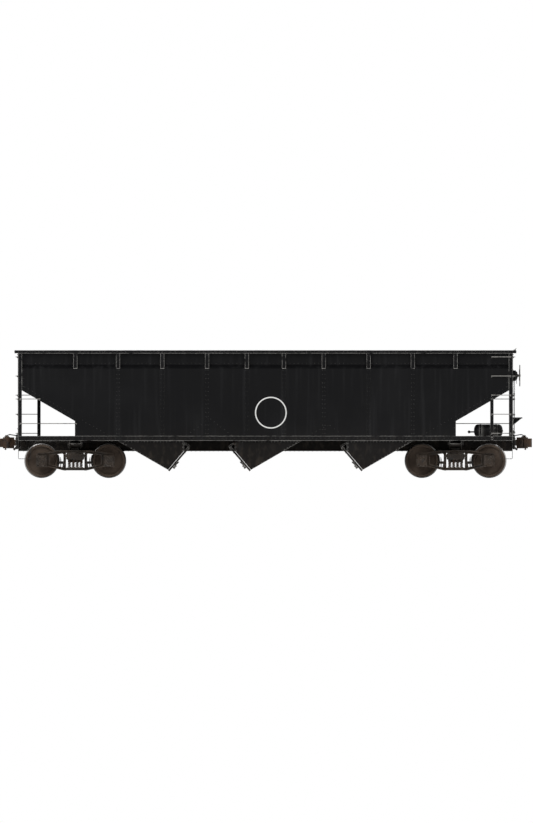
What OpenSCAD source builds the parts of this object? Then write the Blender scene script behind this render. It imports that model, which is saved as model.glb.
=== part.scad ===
// Open hopper wagon with three discharge bays, on two four-wheel bogies.
// +X is the hand-brake end, +Y the left side, and Z = 0 the bottom of the wheel flanges.

/* [Overall] */
// Distance between the bogie pivots
bogie_centres = 9754; // [9200:1:11800]
// Length from a bogie pivot to the end face of the corner posts
end_overhang = 1463; // [1400:1:1760]
// Width over the side sheets
body_w = 3090; // [2900:1:3700]
// Height of the top chord above the rail
body_top = 3251; // [2700:1:3910]
// Height of the side sill's underside above the rail
sill_bottom = 932; // [925:1:960]
// Length over the coupler faces, beyond each end of the corner posts
coupler_reach = 431; // [400:1:520]

/* [Side sheets and stakes] */
// Thickness of the side sheets
side_t = 6; // [4:1:12]
// Depth from the top edge to the bend where the side steps inwards
bend_drop = 472; // [330:1:600]
// Height of the sloping step in the side sheet
bend_h = 100; // [60:1:160]
// How far the side sheet steps inwards, which is also the depth of the stakes
bend_in = 115; // [80:1:150]
// Width of a side stake
stake_w = 100; // [60:1:120]
// Thickness of the plate that the stakes are pressed from
stake_t = 10; // [6:1:14]
// Distance from the middle to the first pair of stakes
stake_1 = 476; // [350:1:600]
// Distance from the middle to the second pair of stakes
stake_2 = 1497; // [1200:1:1700]
// Distance from the middle to the third pair of stakes
stake_3 = 2646; // [2300:1:2900]
// Distance from the middle to the fourth pair of stakes
stake_4 = 3780; // [3400:1:4000]

/* [Frame members] */
// Depth of the top chord
chord_depth = 80; // [60:1:120]
// How far the end chord stands out past the corner posts
chord_reach = 95; // [60:1:110]
// How far the side chord stands out past the side sheets
chord_lip = 15; // [14:1:20]
// Thickness of chords, sills and posts
frame_t = 12; // [8:1:14]
// Height of the side sill
sill_depth = 120; // [90:1:140]
// Width of the side sill's bottom flange, inside the side sheet
sill_flange = 53; // [40:1:70]
// Width of a corner post along the wagon
post_w = 95; // [70:1:105]
// Depth of a corner post across the wagon
post_d = 145; // [120:1:170]
// Depth of the centre sill
centre_sill_depth = 325; // [290:1:330]
// Height of the centre sill's underside above the rail
centre_sill_bottom = 663; // [655:1:680]
// Distance between the centre sill's webs, outside
centre_sill_w = 352; // [330:1:380]
// Width of each bottom flange of the centre sill
centre_sill_flange = 74; // [60:1:80]
// Height of the coupler's centre line above the rail
coupler_line = 876; // [850:1:895]

/* [Hoppers] */
// Thickness of slope sheets, ridges and chute plates
sheet_t = 8; // [6:1:12]
// Angle of the slope sheets
slope_angle = 30; // [28:0.5:32]
// Angle of the closed doors
door_angle = 49.5; // [47:0.5:52]
// Angle of the cross ridges above the doors
ridge_angle = 42; // [38:0.5:45]
// Distance from the middle to the door lip of each end bay
end_bay = 2500; // [2300:1:2600]
// Distance from the middle to the door lip of the middle bay
mid_bay = 369; // [300:1:450]
// Height of the closed doors' lower edge above the rail
door_low = 175; // [150:1:200]
// Level distance from the door lip to the hinge pin
hinge_out = 450; // [430:1:470]
// Height of the hinge pins above the rail
hinge_high = 855; // [840:1:865]
// Level distance from the door lip to the upright header plate
header_out = 405; // [390:1:412]
// How much each outer chute plate leans in from top to bottom
chute_lean = 160; // [100:1:220]
// Length of a door along its slope
door_len = 796; // [760:1:810]
// Depth of a door with its stiffening frame
door_depth = 50; // [40:1:55]
// Rise of the hood over the centre sill
hood_rise = 200; // [150:1:240]
// Gap left between a closed door and the chute
door_gap = 6; // [5:1:8]
// Diameter of a door hinge pin
hinge_pin_d = 30; // [24:1:32]

/* [Bogies] */
// Distance between the axles of a bogie
axle_spacing = 1727; // [1680:1:1800]
// Diameter of the wheel tread
wheel_d = 838; // [820:1:860]
// Depth of the wheel flange below the tread
flange_h = 25.4; // [24:0.1:30]
// Distance between the backs of the wheels
wheel_backs = 1355; // [1345:1:1365]
// Width of a wheel rim
rim_w = 145; // [135:1:150]
// Distance between the journal centres
journal_centres = 1956; // [1940:1:1980]
// Diameter of an axle journal
journal_d = 126; // [110:1:130]
// Diameter of the body's centre plate
centre_plate_d = 356; // [320:1:362]

/* [Hidden] */

$fn = 48;
// A seat that carries load but belongs to another body
seat_gap = 0.3;
// Clear space beside moving pieces
run_gap = 6;

// Heights, from the bottom of the wheel flanges
rail_z = flange_h;
top_z = rail_z + body_top;
chord_z = top_z - chord_depth;
bend_low_z = top_z - bend_drop;
bend_top_z = bend_low_z + bend_h;
sill_z = rail_z + sill_bottom;
sill_top_z = sill_z + sill_depth;
sill_floor_z = sill_z + frame_t;
center_low_z = rail_z + centre_sill_bottom;
center_top_z = center_low_z + centre_sill_depth;
coupler_z = rail_z + coupler_line;
axle_z = flange_h + wheel_d / 2;
lip_z = rail_z + door_low + 18;
door_z = rail_z + door_low;
hinge_z = rail_z + hinge_high;

// Lengthwise places
pivot_x = bogie_centres / 2;
post_x = pivot_x + end_overhang;
end_x = post_x - post_w;
chord_x = post_x + chord_reach;
coupler_x = post_x + coupler_reach;

// Crosswise places
side_y = body_w / 2;
side_in_y = side_y - side_t;
upper_y = side_y - bend_in;
upper_in_y = upper_y - side_t;
chord_y = side_y + chord_lip;
sill_y = side_y + frame_t;
sill_flange_y = side_y - sill_flange;
web_y = centre_sill_w / 2;
flange_y = web_y + centre_sill_flange;
chute_in_y = flange_y + run_gap + 6;

// Each bay: the lip of its chute, and +1 where its door is on the +X side
bays = [[-end_bay, 1], [-mid_bay, -1], [end_bay, -1]];
stakes_x = [stake_1, stake_2, stake_3, stake_4, pivot_x];

// Height of a slope sheet's top face, and of a ridge's, dx away from its foot
function slope_rise(dx) = dx * tan(slope_angle);
function ridge_rise(dx) = dx * tan(ridge_angle);
function slope_run(z) = (z - lip_z) / tan(slope_angle);
function header_x(bay) = bay[0] + bay[1] * header_out;

// Top faces of the load floor from -X to +X
ridge_1_x = (header_x(bays[0]) + header_x(bays[1])) / 2;
ridge_1_z = sill_z + ridge_rise(ridge_1_x - header_x(bays[0]));
ridge_2_x = (sill_z - lip_z + header_x(bays[2]) * tan(ridge_angle) + bays[1][0] * tan(slope_angle))
    / (tan(slope_angle) + tan(ridge_angle));
ridge_2_z = lip_z + slope_rise(ridge_2_x - bays[1][0]);
end_floor_z = lip_z + slope_rise(end_x - end_bay);
floor_a = [[-end_x - 50, end_floor_z + slope_rise(50)], [bays[0][0], lip_z]];
floor_ridge_1 = [[header_x(bays[0]), sill_z], [ridge_1_x, ridge_1_z], [header_x(bays[1]), sill_z]];
floor_ridge_2 = [[bays[1][0], lip_z], [ridge_2_x, ridge_2_z], [header_x(bays[2]), sill_z]];
floor_b = [[bays[2][0], lip_z], [end_x + 50, end_floor_z + slope_rise(50)]];

// A line of points and its copy t below it, with mitred corners
function unit(v) = v / norm(v);
function right_of(a, b) = let (d = unit(b - a)) [d[1], -d[0]];
function mitre(n1, n2) = (n1 + n2) / (1 + n1 * n2);
function line_mitre(p, i) = mitre(
    right_of(p[max(i - 1, 0)], p[max(i, 1)]),
    right_of(p[min(i, len(p) - 2)], p[min(i + 1, len(p) - 1)]));
function below(p, t) = [for (i = [0:len(p) - 1]) p[i] + t * line_mitre(p, i)];
function backwards(p) = [for (i = [len(p) - 1:-1:0]) p[i]];
module plate_profile(p, t) polygon(concat(p, backwards(below(p, t))));

// A closed outline grown by t, its points running anticlockwise
function ring_mitre(p, i) = let (n = len(p)) mitre(
    right_of(p[(i + n - 1) % n], p[i]), right_of(p[i], p[(i + 1) % n]));
function grown(p, t) = [for (i = [0:len(p) - 1]) p[i] + t * ring_mitre(p, i)];

// A closed outline with its corners rounded to radius r
corner_steps = 4;
function corner(p, i, r) = let (
    n = len(p), a = unit(p[(i + n - 1) % n] - p[i]), b = unit(p[(i + 1) % n] - p[i]),
    half = acos(a * b) / 2, centre = p[i] + unit(a + b) * r / sin(half),
    start = p[i] + a * r / tan(half) - centre, turn = (180 - 2 * half) * sign(a[0] * b[1] - a[1] * b[0]))
    [for (k = [0:corner_steps]) let (t = -turn * k / corner_steps)
        centre + [start[0] * cos(t) - start[1] * sin(t), start[0] * sin(t) + start[1] * cos(t)]];
function rounded(p, r) = [for (i = [0:len(p) - 1]) each corner(p, i, r)];

// An XZ outline given thickness along Y, centred on y
module along_y(w, y = 0) translate([0, y + w / 2, 0]) rotate([90, 0, 0]) linear_extrude(w) children();
// A YZ outline given length along X, centred on x
module along_x(l, x = 0) translate([x - l / 2, 0, 0]) rotate([90, 0, 90]) linear_extrude(l) children();
// A box given by its lowest and highest corners
module block(a, b) translate(a) cube(b - a);
// A round bar along X or along Y, starting at p
module bar_x(p, l, d) translate(p) rotate([0, 90, 0]) cylinder(d = d, h = l);
module bar_y(p, l, d) translate(p) rotate([-90, 0, 0]) cylinder(d = d, h = l);
module both_sides() { children(); mirror([0, 1, 0]) children(); }
module both_ends() { children(); mirror([1, 0, 0]) children(); }

// Outer and inner faces of the left side sheet in YZ, from the top down
side_line = [
    [upper_y, top_z - frame_t], [upper_y, bend_top_z], [side_y, bend_low_z], [side_y, sill_floor_z]];
side_inner = below(side_line, side_t);

// Inside of the load space across the wagon, one half, clear of the centre sill
load_half = [
    [chute_in_y, center_top_z], [chute_in_y, 0],
    [sill_flange_y - chute_lean * sill_z / (sill_z - door_z), 0], [sill_flange_y, sill_z],
    [sill_flange_y, sill_floor_z], side_inner[3], side_inner[2], side_inner[1], side_inner[0]];
function mirrored(half) = concat(half, [for (i = [len(half) - 1:-1:0]) [-half[i][0], half[i][1]]]);
module load_section() polygon(mirrored(load_half));

// ---- Side sheets, stakes and the frame round the top ----

// The side sheet's face: sloping cut-outs leave the ends open below the slope sheets
cut_drop = 137;
cut_x = pivot_x + 9;
cut_z = lip_z + slope_rise(cut_x - end_bay) - cut_drop;
side_face = [
    [-cut_x, sill_floor_z], [cut_x, sill_floor_z], [cut_x, cut_z],
    [end_x, cut_z + slope_rise(end_x - cut_x)], [end_x, top_z - frame_t],
    [-end_x, top_z - frame_t], [-end_x, cut_z + slope_rise(end_x - cut_x)], [-cut_x, cut_z]];

module side_wall() intersection() {
    along_y(2 * side_y, 0) polygon(side_face);
    along_x(2 * end_x) plate_profile(side_line, side_t);
}
module side_wall_left() color("#17181a") side_wall();
module side_wall_right() color("#17181a") mirror([0, 1, 0]) side_wall();

// A side stake: a pressed channel, inside the sheet below the bend and outside it above
stub_face = [side_line[1], side_line[0], [side_y, top_z - frame_t], side_line[2]];
module stake_stub(x) difference() {
    along_x(stake_w, x) polygon(stub_face);
    block([x - stake_w / 2 + stake_t, 0, bend_low_z],
        [x + stake_w / 2 - stake_t, side_y - stake_t, top_z]);
}
module stake_inside(x) difference() {
    along_x(stake_w, x) polygon([
        [upper_in_y, sill_floor_z], side_inner[3], side_inner[2], side_inner[1]]);
    block([x - stake_w / 2 + stake_t, upper_in_y + stake_t, 0],
        [x + stake_w / 2 - stake_t, side_y, bend_top_z]);
    load_floor_solid();
}
// Everything under the load floor
module load_floor_solid() along_y(3 * side_y) {
    polygon(concat(floor_a, [[end_bay * -1, 0], [-end_x - 50, 0]]));
    polygon(concat(floor_ridge_1, [[header_x(bays[1]), 0], [header_x(bays[0]), 0]]));
    polygon(concat(floor_ridge_2, [[header_x(bays[2]), 0], [bays[1][0], 0]]));
    polygon(concat(floor_b, [[end_x + 50, 0], [end_bay, 0]]));
}
module side_stakes() for (x = stakes_x, end = [-1, 1]) {
    stake_stub(end * x);
    stake_inside(end * x);
}
module side_stakes_left() color("#1b1c1e") side_stakes();
module side_stakes_right() color("#1b1c1e") mirror([0, 1, 0]) side_stakes();

module top_chord() color("#17181a") difference() {
    block([-chord_x, -chord_y, chord_z], [chord_x, chord_y, top_z]);
    block([-chord_x + frame_t, -chord_y + frame_t, 0],
        [chord_x - frame_t, chord_y - frame_t, top_z - frame_t]);
    block([-end_x + sheet_t, -upper_in_y, 0], [end_x - sheet_t, upper_in_y, top_z + 1]);
}

module side_sills() color("#17181a") both_sides() along_x(2 * post_x) polygon([
    [sill_flange_y, sill_z], [sill_y, sill_z], [sill_y, sill_top_z], [side_y, sill_top_z],
    [side_y, sill_floor_z], [sill_flange_y, sill_floor_z]]);

module corner_posts() color("#17181a") both_sides() both_ends() difference() {
    block([end_x, side_y - post_d, sill_floor_z], [post_x, side_y, top_z - frame_t]);
    block([end_x + frame_t, 0, 0], [post_x - frame_t, side_y - frame_t, top_z]);
}

// ---- Ends ----
end_sill_depth = 220;
end_sill_top = sill_z + end_sill_depth;
end_post_y = 520;
end_post_w = 90;
end_post_x = post_x - 10;
end_post_t = 10;

module end_wall() intersection() {
    along_y(2 * side_y) polygon([
        [end_x - sheet_t, end_floor_z - slope_rise(sheet_t)], [end_x, end_floor_z],
        [end_x, top_z - frame_t], [end_x - sheet_t, top_z - frame_t]]);
    along_x(2 * end_x) load_section();
}
module end_wall_a() color("#17181a") mirror([1, 0, 0]) end_wall();
module end_wall_b() color("#17181a") end_wall();

module end_posts() both_sides() difference() {
    block([end_x, end_post_y - end_post_w / 2, end_sill_top],
        [end_post_x, end_post_y + end_post_w / 2, top_z - frame_t]);
    block([0, end_post_y - end_post_w / 2 + end_post_t, 0],
        [end_post_x - end_post_t, end_post_y + end_post_w / 2 - end_post_t, top_z]);
}
module end_posts_a() color("#1b1c1e") mirror([1, 0, 0]) end_posts();
module end_posts_b() color("#1b1c1e") end_posts();

// Channel across the end, with the striker casting round the coupler shank
shank_w = 130;
shank_h = 150;
shank_side_gap = 20;
shank_top_gap = 20;
striker_x = 60;
striker_half_w = 190;
striker_half_h = 150;
module end_sill() difference() {
    union() {
        difference() {
            block([end_x, -side_y + post_d, sill_z], [post_x, side_y - post_d, end_sill_top]);
            block([0, -side_y, sill_floor_z], [post_x - frame_t, side_y, end_sill_top - frame_t]);
            block([0, -web_y, 0], [post_x - frame_t, web_y, center_top_z]);
        }
        block([post_x - frame_t, -flange_y, center_low_z], [post_x, flange_y, sill_floor_z]);
        block([post_x - frame_t, -striker_half_w, coupler_z - striker_half_h],
            [post_x + striker_x, striker_half_w, coupler_z + striker_half_h]);
    }
    block([0, -shank_w / 2 - shank_side_gap, coupler_z - shank_h / 2],
        [coupler_x, shank_w / 2 + shank_side_gap, coupler_z + shank_h / 2 + shank_top_gap]);
}
module end_sill_a() color("#17181a") mirror([1, 0, 0]) end_sill();
module end_sill_b() color("#17181a") end_sill();

// ---- Slopes, ridges, hood and chutes ----
module floor_sheet(line) intersection() {
    along_y(2 * side_y) plate_profile(line, sheet_t);
    along_x(2 * end_x) load_section();
}
module end_slope_a() color("#1d1d1e") floor_sheet(floor_a);
module end_slope_b() color("#1d1d1e") floor_sheet(floor_b);

// Upright plate above a door, with the lugs and pins that the door hangs on
header_gap = 10.8;
header_low_z = door_z + (header_out + sheet_t) * tan(door_angle) + header_gap;
strap_w = 60;
lug_t = 14;
lug_r = 27;
strap_gap = 2;
strap_in_y = chute_in_y + 150;
strap_out_y = sill_flange_y - 110;
module in_bay(bay) translate([bay[0], 0, 0]) {
    if (bay[1] > 0) children(); else mirror([1, 0, 0]) children();
}
module header(bay) {
    intersection() {
        in_bay(bay) block([header_out, -side_y, header_low_z], [header_out + sheet_t, side_y, sill_z + 1]);
        along_x(2 * end_x) load_section();
    }
    in_bay(bay) both_sides() for (y = [strap_in_y, strap_out_y]) {
        translate([hinge_out, y, hinge_z]) rotate([90, 0, 0])
            cylinder(d = hinge_pin_d, h = strap_w + 2 * (strap_gap + lug_t), center = true);
        for (side = [-1, 1])
            along_y(lug_t, y + side * (strap_w / 2 + strap_gap + lug_t / 2)) union() {
                translate([hinge_out, hinge_z]) circle(lug_r);
                translate([header_out + sheet_t / 2, hinge_z - lug_r])
                    square([hinge_out - header_out - sheet_t / 2, 2 * lug_r]);
            }
    }
}
module cross_ridge_1() color("#1d1d1e") {
    floor_sheet(floor_ridge_1);
    header(bays[0]);
    header(bays[1]);
}
module cross_ridge_2() color("#1d1d1e") {
    floor_sheet(floor_ridge_2);
    header(bays[2]);
}

hood_line = [[-chute_in_y, center_top_z], [0, center_top_z + hood_rise], [chute_in_y, center_top_z]];
module sill_hood() color("#1d1d1e") difference() {
    along_x(2 * end_x) intersection() {
        plate_profile(hood_line, sheet_t);
        translate([-side_y, center_top_z]) square([2 * side_y, hood_rise]);
    }
    load_floor_solid();
}

// Side plates of a chute, from the slope sheet to the door
door_dir = [cos(door_angle), sin(door_angle)];
door_in = [-sin(door_angle), cos(door_angle)];
function door_point(u, v) = u * door_dir + v * door_in;
seat_u = (header_out + sheet_t + door_gap * sin(door_angle)) / cos(door_angle);
slope_down = sheet_t / cos(slope_angle);
function slope_side(z) = [-(z - lip_z + slope_down) / tan(slope_angle), z];
lip_corner = [-sheet_t * sin(slope_angle), lip_z - sheet_t * cos(slope_angle)];
chute_side = [
    slope_side(sill_z), lip_corner, [0, lip_z],
    [0, door_z] + door_point((lip_z - door_z) * sin(door_angle), door_gap),
    [0, door_z] + door_point(seat_u, door_gap), [header_out + sheet_t, sill_z]];
ridge_foot = header_out + sheet_t / sin(ridge_angle);
chute_core = concat([slope_side(center_top_z)], [for (i = [1:5]) chute_side[i]], [
    [ridge_foot, sill_z], [ridge_foot + (center_top_z - sill_z) / tan(ridge_angle), center_top_z]]);
lean_angle = atan(chute_lean / (sill_z - door_z));
packing_x = [-400, 0, 300];
packing_l = 80;
module hopper_chute(bay) in_bay(bay) both_sides() {
    along_y(chute_in_y - flange_y - run_gap, (chute_in_y + flange_y + run_gap) / 2) polygon(chute_core);
    // The outer plate leans in, so its outline is stretched to reach the same heights
    intersection() {
        along_y(2 * side_y) polygon(chute_side);
        along_x(2 * end_x) polygon([
            [sill_flange_y, sill_z], [sill_flange_y + sheet_t / cos(lean_angle), sill_z],
            [sill_flange_y + sheet_t / cos(lean_angle) - chute_lean * sill_z / (sill_z - door_z), 0],
            [sill_flange_y - chute_lean * sill_z / (sill_z - door_z), 0]]);
    }
    // Packing strips that hang the inner plate from the centre sill
    for (x = packing_x)
        block([x, flange_y, center_low_z], [x + packing_l, flange_y + run_gap, center_low_z + web_t]);
}
module hopper_chute_1() color("#1a1a1b") hopper_chute(bays[0]);
module hopper_chute_2() color("#1a1a1b") hopper_chute(bays[1]);
module hopper_chute_3() color("#1a1a1b") hopper_chute(bays[2]);

// ---- Underframe ----
web_t = 13;
sill_end_x = post_x - frame_t;
module center_sill() color("#1a1a1b") along_x(2 * sill_end_x) polygon(mirrored([
    [web_y - web_t, center_top_z - web_t], [web_y - web_t, center_low_z], [flange_y, center_low_z],
    [flange_y, center_low_z + web_t], [web_y, center_low_z + web_t], [web_y, center_top_z]]));

bolster_half = 150;
bolster_cover = 180;
plate_drop = 28;
plate_z = center_low_z - plate_drop;
bolster_pad_t = 10;
support_t = 12;
support_y = [web_y - support_t, 900];
bearing_y = 635;
bearing_half = [90, 50];
bearing_z = center_low_z + 20;
jack_z = sill_z - 110;
jack_y = sill_flange_y - 92;
jack_w = 120;
jack_l = 200;
bolster_low = [
    [flange_y, center_low_z + web_t], [420, center_low_z + web_t], [850, sill_z - 152],
    [sill_flange_y, sill_z - 70]];
// Height of an end slope sheet's underside at x
function slope_under(x) = lip_z + slope_rise(x - end_bay) - slope_down;
module body_bolster() {
    both_sides() {
        for (x = [-1, 1])
            along_x(14, pivot_x + x * (bolster_half - 7)) polygon(concat(
                [[web_y, center_low_z + web_t]], bolster_low, [
                [sill_flange_y, sill_floor_z], [side_in_y, sill_floor_z],
                [side_in_y, center_top_z], [web_y, center_top_z]]));
        along_x(2 * bolster_half, pivot_x) plate_profile(bolster_low, 12);
        block([pivot_x - bearing_half[0], bearing_y - bearing_half[1], bearing_z],
            [pivot_x + bearing_half[0], bearing_y + bearing_half[1], sill_z - 180]);
        block([pivot_x - jack_l / 2, jack_y - jack_w / 2, jack_z],
            [pivot_x + jack_l / 2, jack_y + jack_w / 2, sill_z - 60]);
        for (y = support_y)
            along_y(support_t, y) polygon([
                [pivot_x - bolster_cover, center_top_z], [pivot_x, center_top_z],
                [pivot_x, slope_under(pivot_x)], [pivot_x - bolster_cover, slope_under(pivot_x - bolster_cover)]]);
    }
    block([pivot_x - bolster_cover, -side_in_y, center_top_z],
        [pivot_x + bolster_cover, side_in_y, center_top_z + support_t]);
    block([pivot_x - bolster_cover, -flange_y, center_low_z - bolster_pad_t],
        [pivot_x + bolster_cover, flange_y, center_low_z]);
    translate([pivot_x, 0, plate_z]) cylinder(d = centre_plate_d, h = plate_drop - 5);
}
module body_bolster_a() color("#1a1a1b") mirror([1, 0, 0]) body_bolster();
module body_bolster_b() color("#1a1a1b") body_bolster();

// ---- Couplers, drawn looking along +X with the knuckle pin on the -Y side ----
knuckle_pin = [-105, -110];
knuckle_pin_d = 41;
pin_end = 10;
lug_z = 112;
head_top = 142;
head_plan = [
    [-330, 65], [-250, 120], [-180, 180], [-50, 195], [45, 228], [65, 215], [60, 180], [-45, 118],
    [-140, 95], [-170, 50], [-170, -50], [-178, -150], [-250, -120], [-330, -65]];
knuckle_plan = [
    [-150, -80], [-160, -110], [-150, -140], [-130, -160], [-60, -165], [10, -150], [42, -110],
    [48, -50], [40, -5], [15, 12], [-35, 12], [-60, -10], [-60, -35], [-30, -50], [-25, -85],
    [-50, -100], [-100, -62]];
module at_coupler_b() translate([coupler_x, 0, coupler_z]) children();
module at_coupler_a() rotate([0, 0, 180]) at_coupler_b() children();
module coupler() {
    translate([0, 0, -lug_z]) linear_extrude(2 * lug_z) polygon(rounded(head_plan, 8));
    for (z = [-head_top, lug_z])
        translate([0, 0, z]) linear_extrude(head_top - lug_z) union() {
            translate(knuckle_pin) circle(68);
            polygon([[-330, 65], [-250, 120], [-180, 180], [-100, 188], [-130, 60], [-105, -42],
                [-105, -178], [-178, -160], [-250, -120], [-330, -65]]);
        }
    translate([knuckle_pin[0], knuckle_pin[1], -head_top - pin_end])
        cylinder(d = knuckle_pin_d, h = 2 * (head_top + pin_end));
    block([post_x - 500 - coupler_x, -shank_w / 2, -shank_h / 2], [-300, shank_w / 2, shank_h / 2]);
}
module knuckle() difference() {
    translate([0, 0, -lug_z + 4]) linear_extrude(2 * lug_z - 8) polygon(rounded(knuckle_plan, 6));
    translate([knuckle_pin[0], knuckle_pin[1], -lug_z]) cylinder(d = knuckle_pin_d + 3, h = 2 * lug_z);
}
module coupler_a() color("#3a332e") at_coupler_a() coupler();
module coupler_b() color("#3a332e") at_coupler_b() coupler();
module knuckle_a() color("#3a332e") at_coupler_a() knuckle();
module knuckle_b() color("#3a332e") at_coupler_b() knuckle();

// ---- Ladders, grab irons and sill steps ----
rung_d = 20;
foot_w = 26;
stand_off = 60;
rung_1 = rail_z + 1120;
rung_gap = 490;
stile_mid_x = post_x - 531;
stile_w = 87;
stile_top_z = rail_z + 2033;
stile_t = 10;
end_stile_y = 950;
end_stile_w = 60;
foot_x = post_x - 50;
side_bar_y = side_y + stand_off;
end_bar_x = post_x + stand_off;
// A bar along X at height z, its feet reaching back to the planes y1 and y2
module side_grab(x1, x2, z, y1, y2) {
    bar_x([x1, side_bar_y, z], x2 - x1, rung_d);
    for (end = [[x1, y1], [x2, y2]])
        block([end[0] - foot_w / 2, end[1], z - foot_w / 2],
            [end[0] + foot_w / 2, side_bar_y + foot_w / 2, z + foot_w / 2]);
}
// A bar along Y across the end, its feet reaching back to the planes x1 and x2
module end_grab(y1, y2, z, x1, x2) {
    bar_y([end_bar_x, y1, z], y2 - y1, rung_d);
    for (end = [[y1, x1], [y2, x2]])
        block([end[1], end[0] - foot_w / 2, z - foot_w / 2],
            [end_bar_x + foot_w / 2, end[0] + foot_w / 2, z + foot_w / 2]);
}
module opposite_corners() { children(); rotate([0, 0, 180]) children(); }

// Ladders stand at the +X right-hand corner and at its opposite
rungs = 5;
rung_x = post_x - 534;
rung_y = side_y - 70;
stile_cap = 50;
// Where the inner foot of the side rung at height z is fixed
function rung_seat(z) = z < stile_top_z ? sill_y + stile_t : (z > bend_top_z ? upper_y : side_y);
module stile_plate(y1, y2, z1)
    block([stile_mid_x - stile_w / 2, y1, z1], [stile_mid_x + stile_w / 2, y2, stile_top_z]);
module ladder() {
    for (i = [0:rungs - 1]) {
        z = rung_1 + i * rung_gap;
        side_grab(rung_x, foot_x, z, rung_seat(z), side_y);
        end_grab(end_stile_y + end_stile_w / 2, rung_y, z, post_x + stile_t, post_x);
    }
    stile_plate(sill_y, sill_y + stile_t, sill_z);
    stile_plate(side_y, sill_y, stile_top_z - stile_cap);
    block([post_x, end_stile_y, sill_z + 20],
        [post_x + stile_t, end_stile_y + end_stile_w, top_z - frame_t]);
}

// One more hold leans out over the top chord at the hand-brake end
hold_rise = 55;
hold_lean = 30;
hold_x = chord_x - 50;
hold_y = [rung_y - 420, rung_y];
module top_hold() {
    for (y = hold_y)
        along_y(foot_w, y) polygon([[hold_x, top_z], [hold_x + foot_w, top_z],
            [hold_x + hold_lean + foot_w / 2, top_z + hold_rise], [hold_x + hold_lean, top_z + hold_rise]]);
    bar_y([hold_x + hold_lean, hold_y[0], top_z + hold_rise - rung_d / 2], hold_y[1] - hold_y[0], rung_d);
}
module ladders() color("#1c1d1f") {
    opposite_corners() mirror([0, 1, 0]) ladder();
    mirror([0, 1, 0]) top_hold();
}

// Hand holds at the other two corners
tie_z = rail_z + 1371;
grab_z = rail_z + 2000;
grab_x = post_x - 555;
tie_x = cut_x - 40;
end_grab_y = end_post_y + 20;
module grab_irons() color("#1c1d1f") opposite_corners() {
    side_grab(grab_x, foot_x, grab_z, side_y, side_y);
    side_grab(tie_x, foot_x, tie_z, side_y, side_y);
    for (z = [rung_1, grab_z])
        end_grab(end_grab_y, rung_y, z, z > end_sill_top ? end_post_x : post_x, post_x);
}

step_reach = 455;
step_w = 325;
step_drop = 472;
step_mid = 235;
step_t = 12;
step_y = side_y - 55;
module sill_step() along_y(50, step_y + 25) {
    translate([post_x - step_t, sill_z - step_drop]) square([step_t, step_drop]);
    translate([post_x - step_w, sill_z - step_drop]) square([step_w, step_t]);
    translate([post_x - step_w, sill_z - step_drop]) square([step_t, step_drop - step_mid]);
    translate([post_x - step_w, sill_z - step_mid - step_t]) square([step_w, step_t]);
    polygon([[post_x - step_w, sill_z - step_mid - step_t], [post_x - step_w + step_t, sill_z - step_mid],
        [post_x - step_reach + step_t + 2, sill_z], [post_x - step_reach, sill_z]]);
}
module sill_steps() color("#1c1d1f") both_sides() both_ends() sill_step();

// ---- Brake gear on the body ----
brake_y = -end_post_y;
brake_z = rail_z + 2600;
brake_box = [150, 280, 320];
brake_wheel_d = 560;
brake_wheel_x = end_post_x + brake_box[0] + 45;
module hand_brake() color("#1c1d1f") {
    translate([end_post_x, brake_y - brake_box[1] / 2, brake_z - brake_box[2] / 2]) cube(brake_box);
    bar_x([end_post_x + brake_box[0] - 5, brake_y, brake_z], 70, 50);
    translate([brake_wheel_x, brake_y, brake_z]) rotate([0, 90, 0]) {
        rotate_extrude() translate([brake_wheel_d / 2 - 14, 0]) circle(14);
        for (a = [0:72:288]) rotate([0, 0, a]) translate([20, 0, 0]) rotate([0, 90, 0])
            cylinder(d = 18, h = brake_wheel_d / 2 - 34);
        cylinder(d = 90, h = 40, center = true);
    }
}

brake_step_z = rail_z + 1500;
brake_step_d = 240;
brake_step_t = 30;
step_bracket_t = 12;
step_bracket_h = 180;
module brake_step() color("#1c1d1f") {
    block([post_x + stile_t, -end_stile_y - end_stile_w, brake_step_z],
        [post_x + stile_t + brake_step_d, brake_y + end_post_w, brake_step_z + brake_step_t]);
    for (bracket = [[end_post_x, brake_y], [post_x + stile_t, -end_stile_y - end_stile_w / 2]])
        along_y(step_bracket_t, bracket[1]) polygon([
            [bracket[0], brake_step_z + 1], [post_x + brake_step_d - 20, brake_step_z + 1],
            [bracket[0], brake_step_z - step_bracket_h]]);
}

// A vessel of diameter d lying along X on two cross channels, between the centre sill and a side sill
tray_x = [pivot_x + 640, pivot_x + 1040];
tray_h = 70;
tray_w = 60;
saddle_w = 24;
vessel_lift = 8;
function vessel_z(d) = sill_floor_z + tray_h + d / 2 + vessel_lift;
module vessel(d, overhang, y) {
    for (x = tray_x) {
        block([x - tray_w / 2, web_y, sill_floor_z], [x + tray_w / 2, side_in_y, sill_floor_z + tray_h]);
        block([x - saddle_w / 2, y - 0.42 * d, sill_floor_z + tray_h - 1],
            [x + saddle_w / 2, y + 0.42 * d, sill_floor_z + tray_h + 0.3 * d]);
    }
    bar_x([tray_x[0] - overhang, y, vessel_z(d)], tray_x[1] - tray_x[0] + 2 * overhang, d);
}
brake_cylinder_d = 270;
brake_cylinder_y = 820;
brake_rod_d = 36;
brake_rod_l = 260;
reservoir_d = 330;
reservoir_y = 860;
module brake_cylinder() color("#1c1d1f") {
    vessel(brake_cylinder_d, 60, brake_cylinder_y);
    bar_x([tray_x[0] - 300, brake_cylinder_y, vessel_z(brake_cylinder_d)], brake_rod_l, brake_rod_d);
}
module air_reservoir() color("#1c1d1f") mirror([0, 1, 0]) vessel(reservoir_d, 170, reservoir_y);

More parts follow.
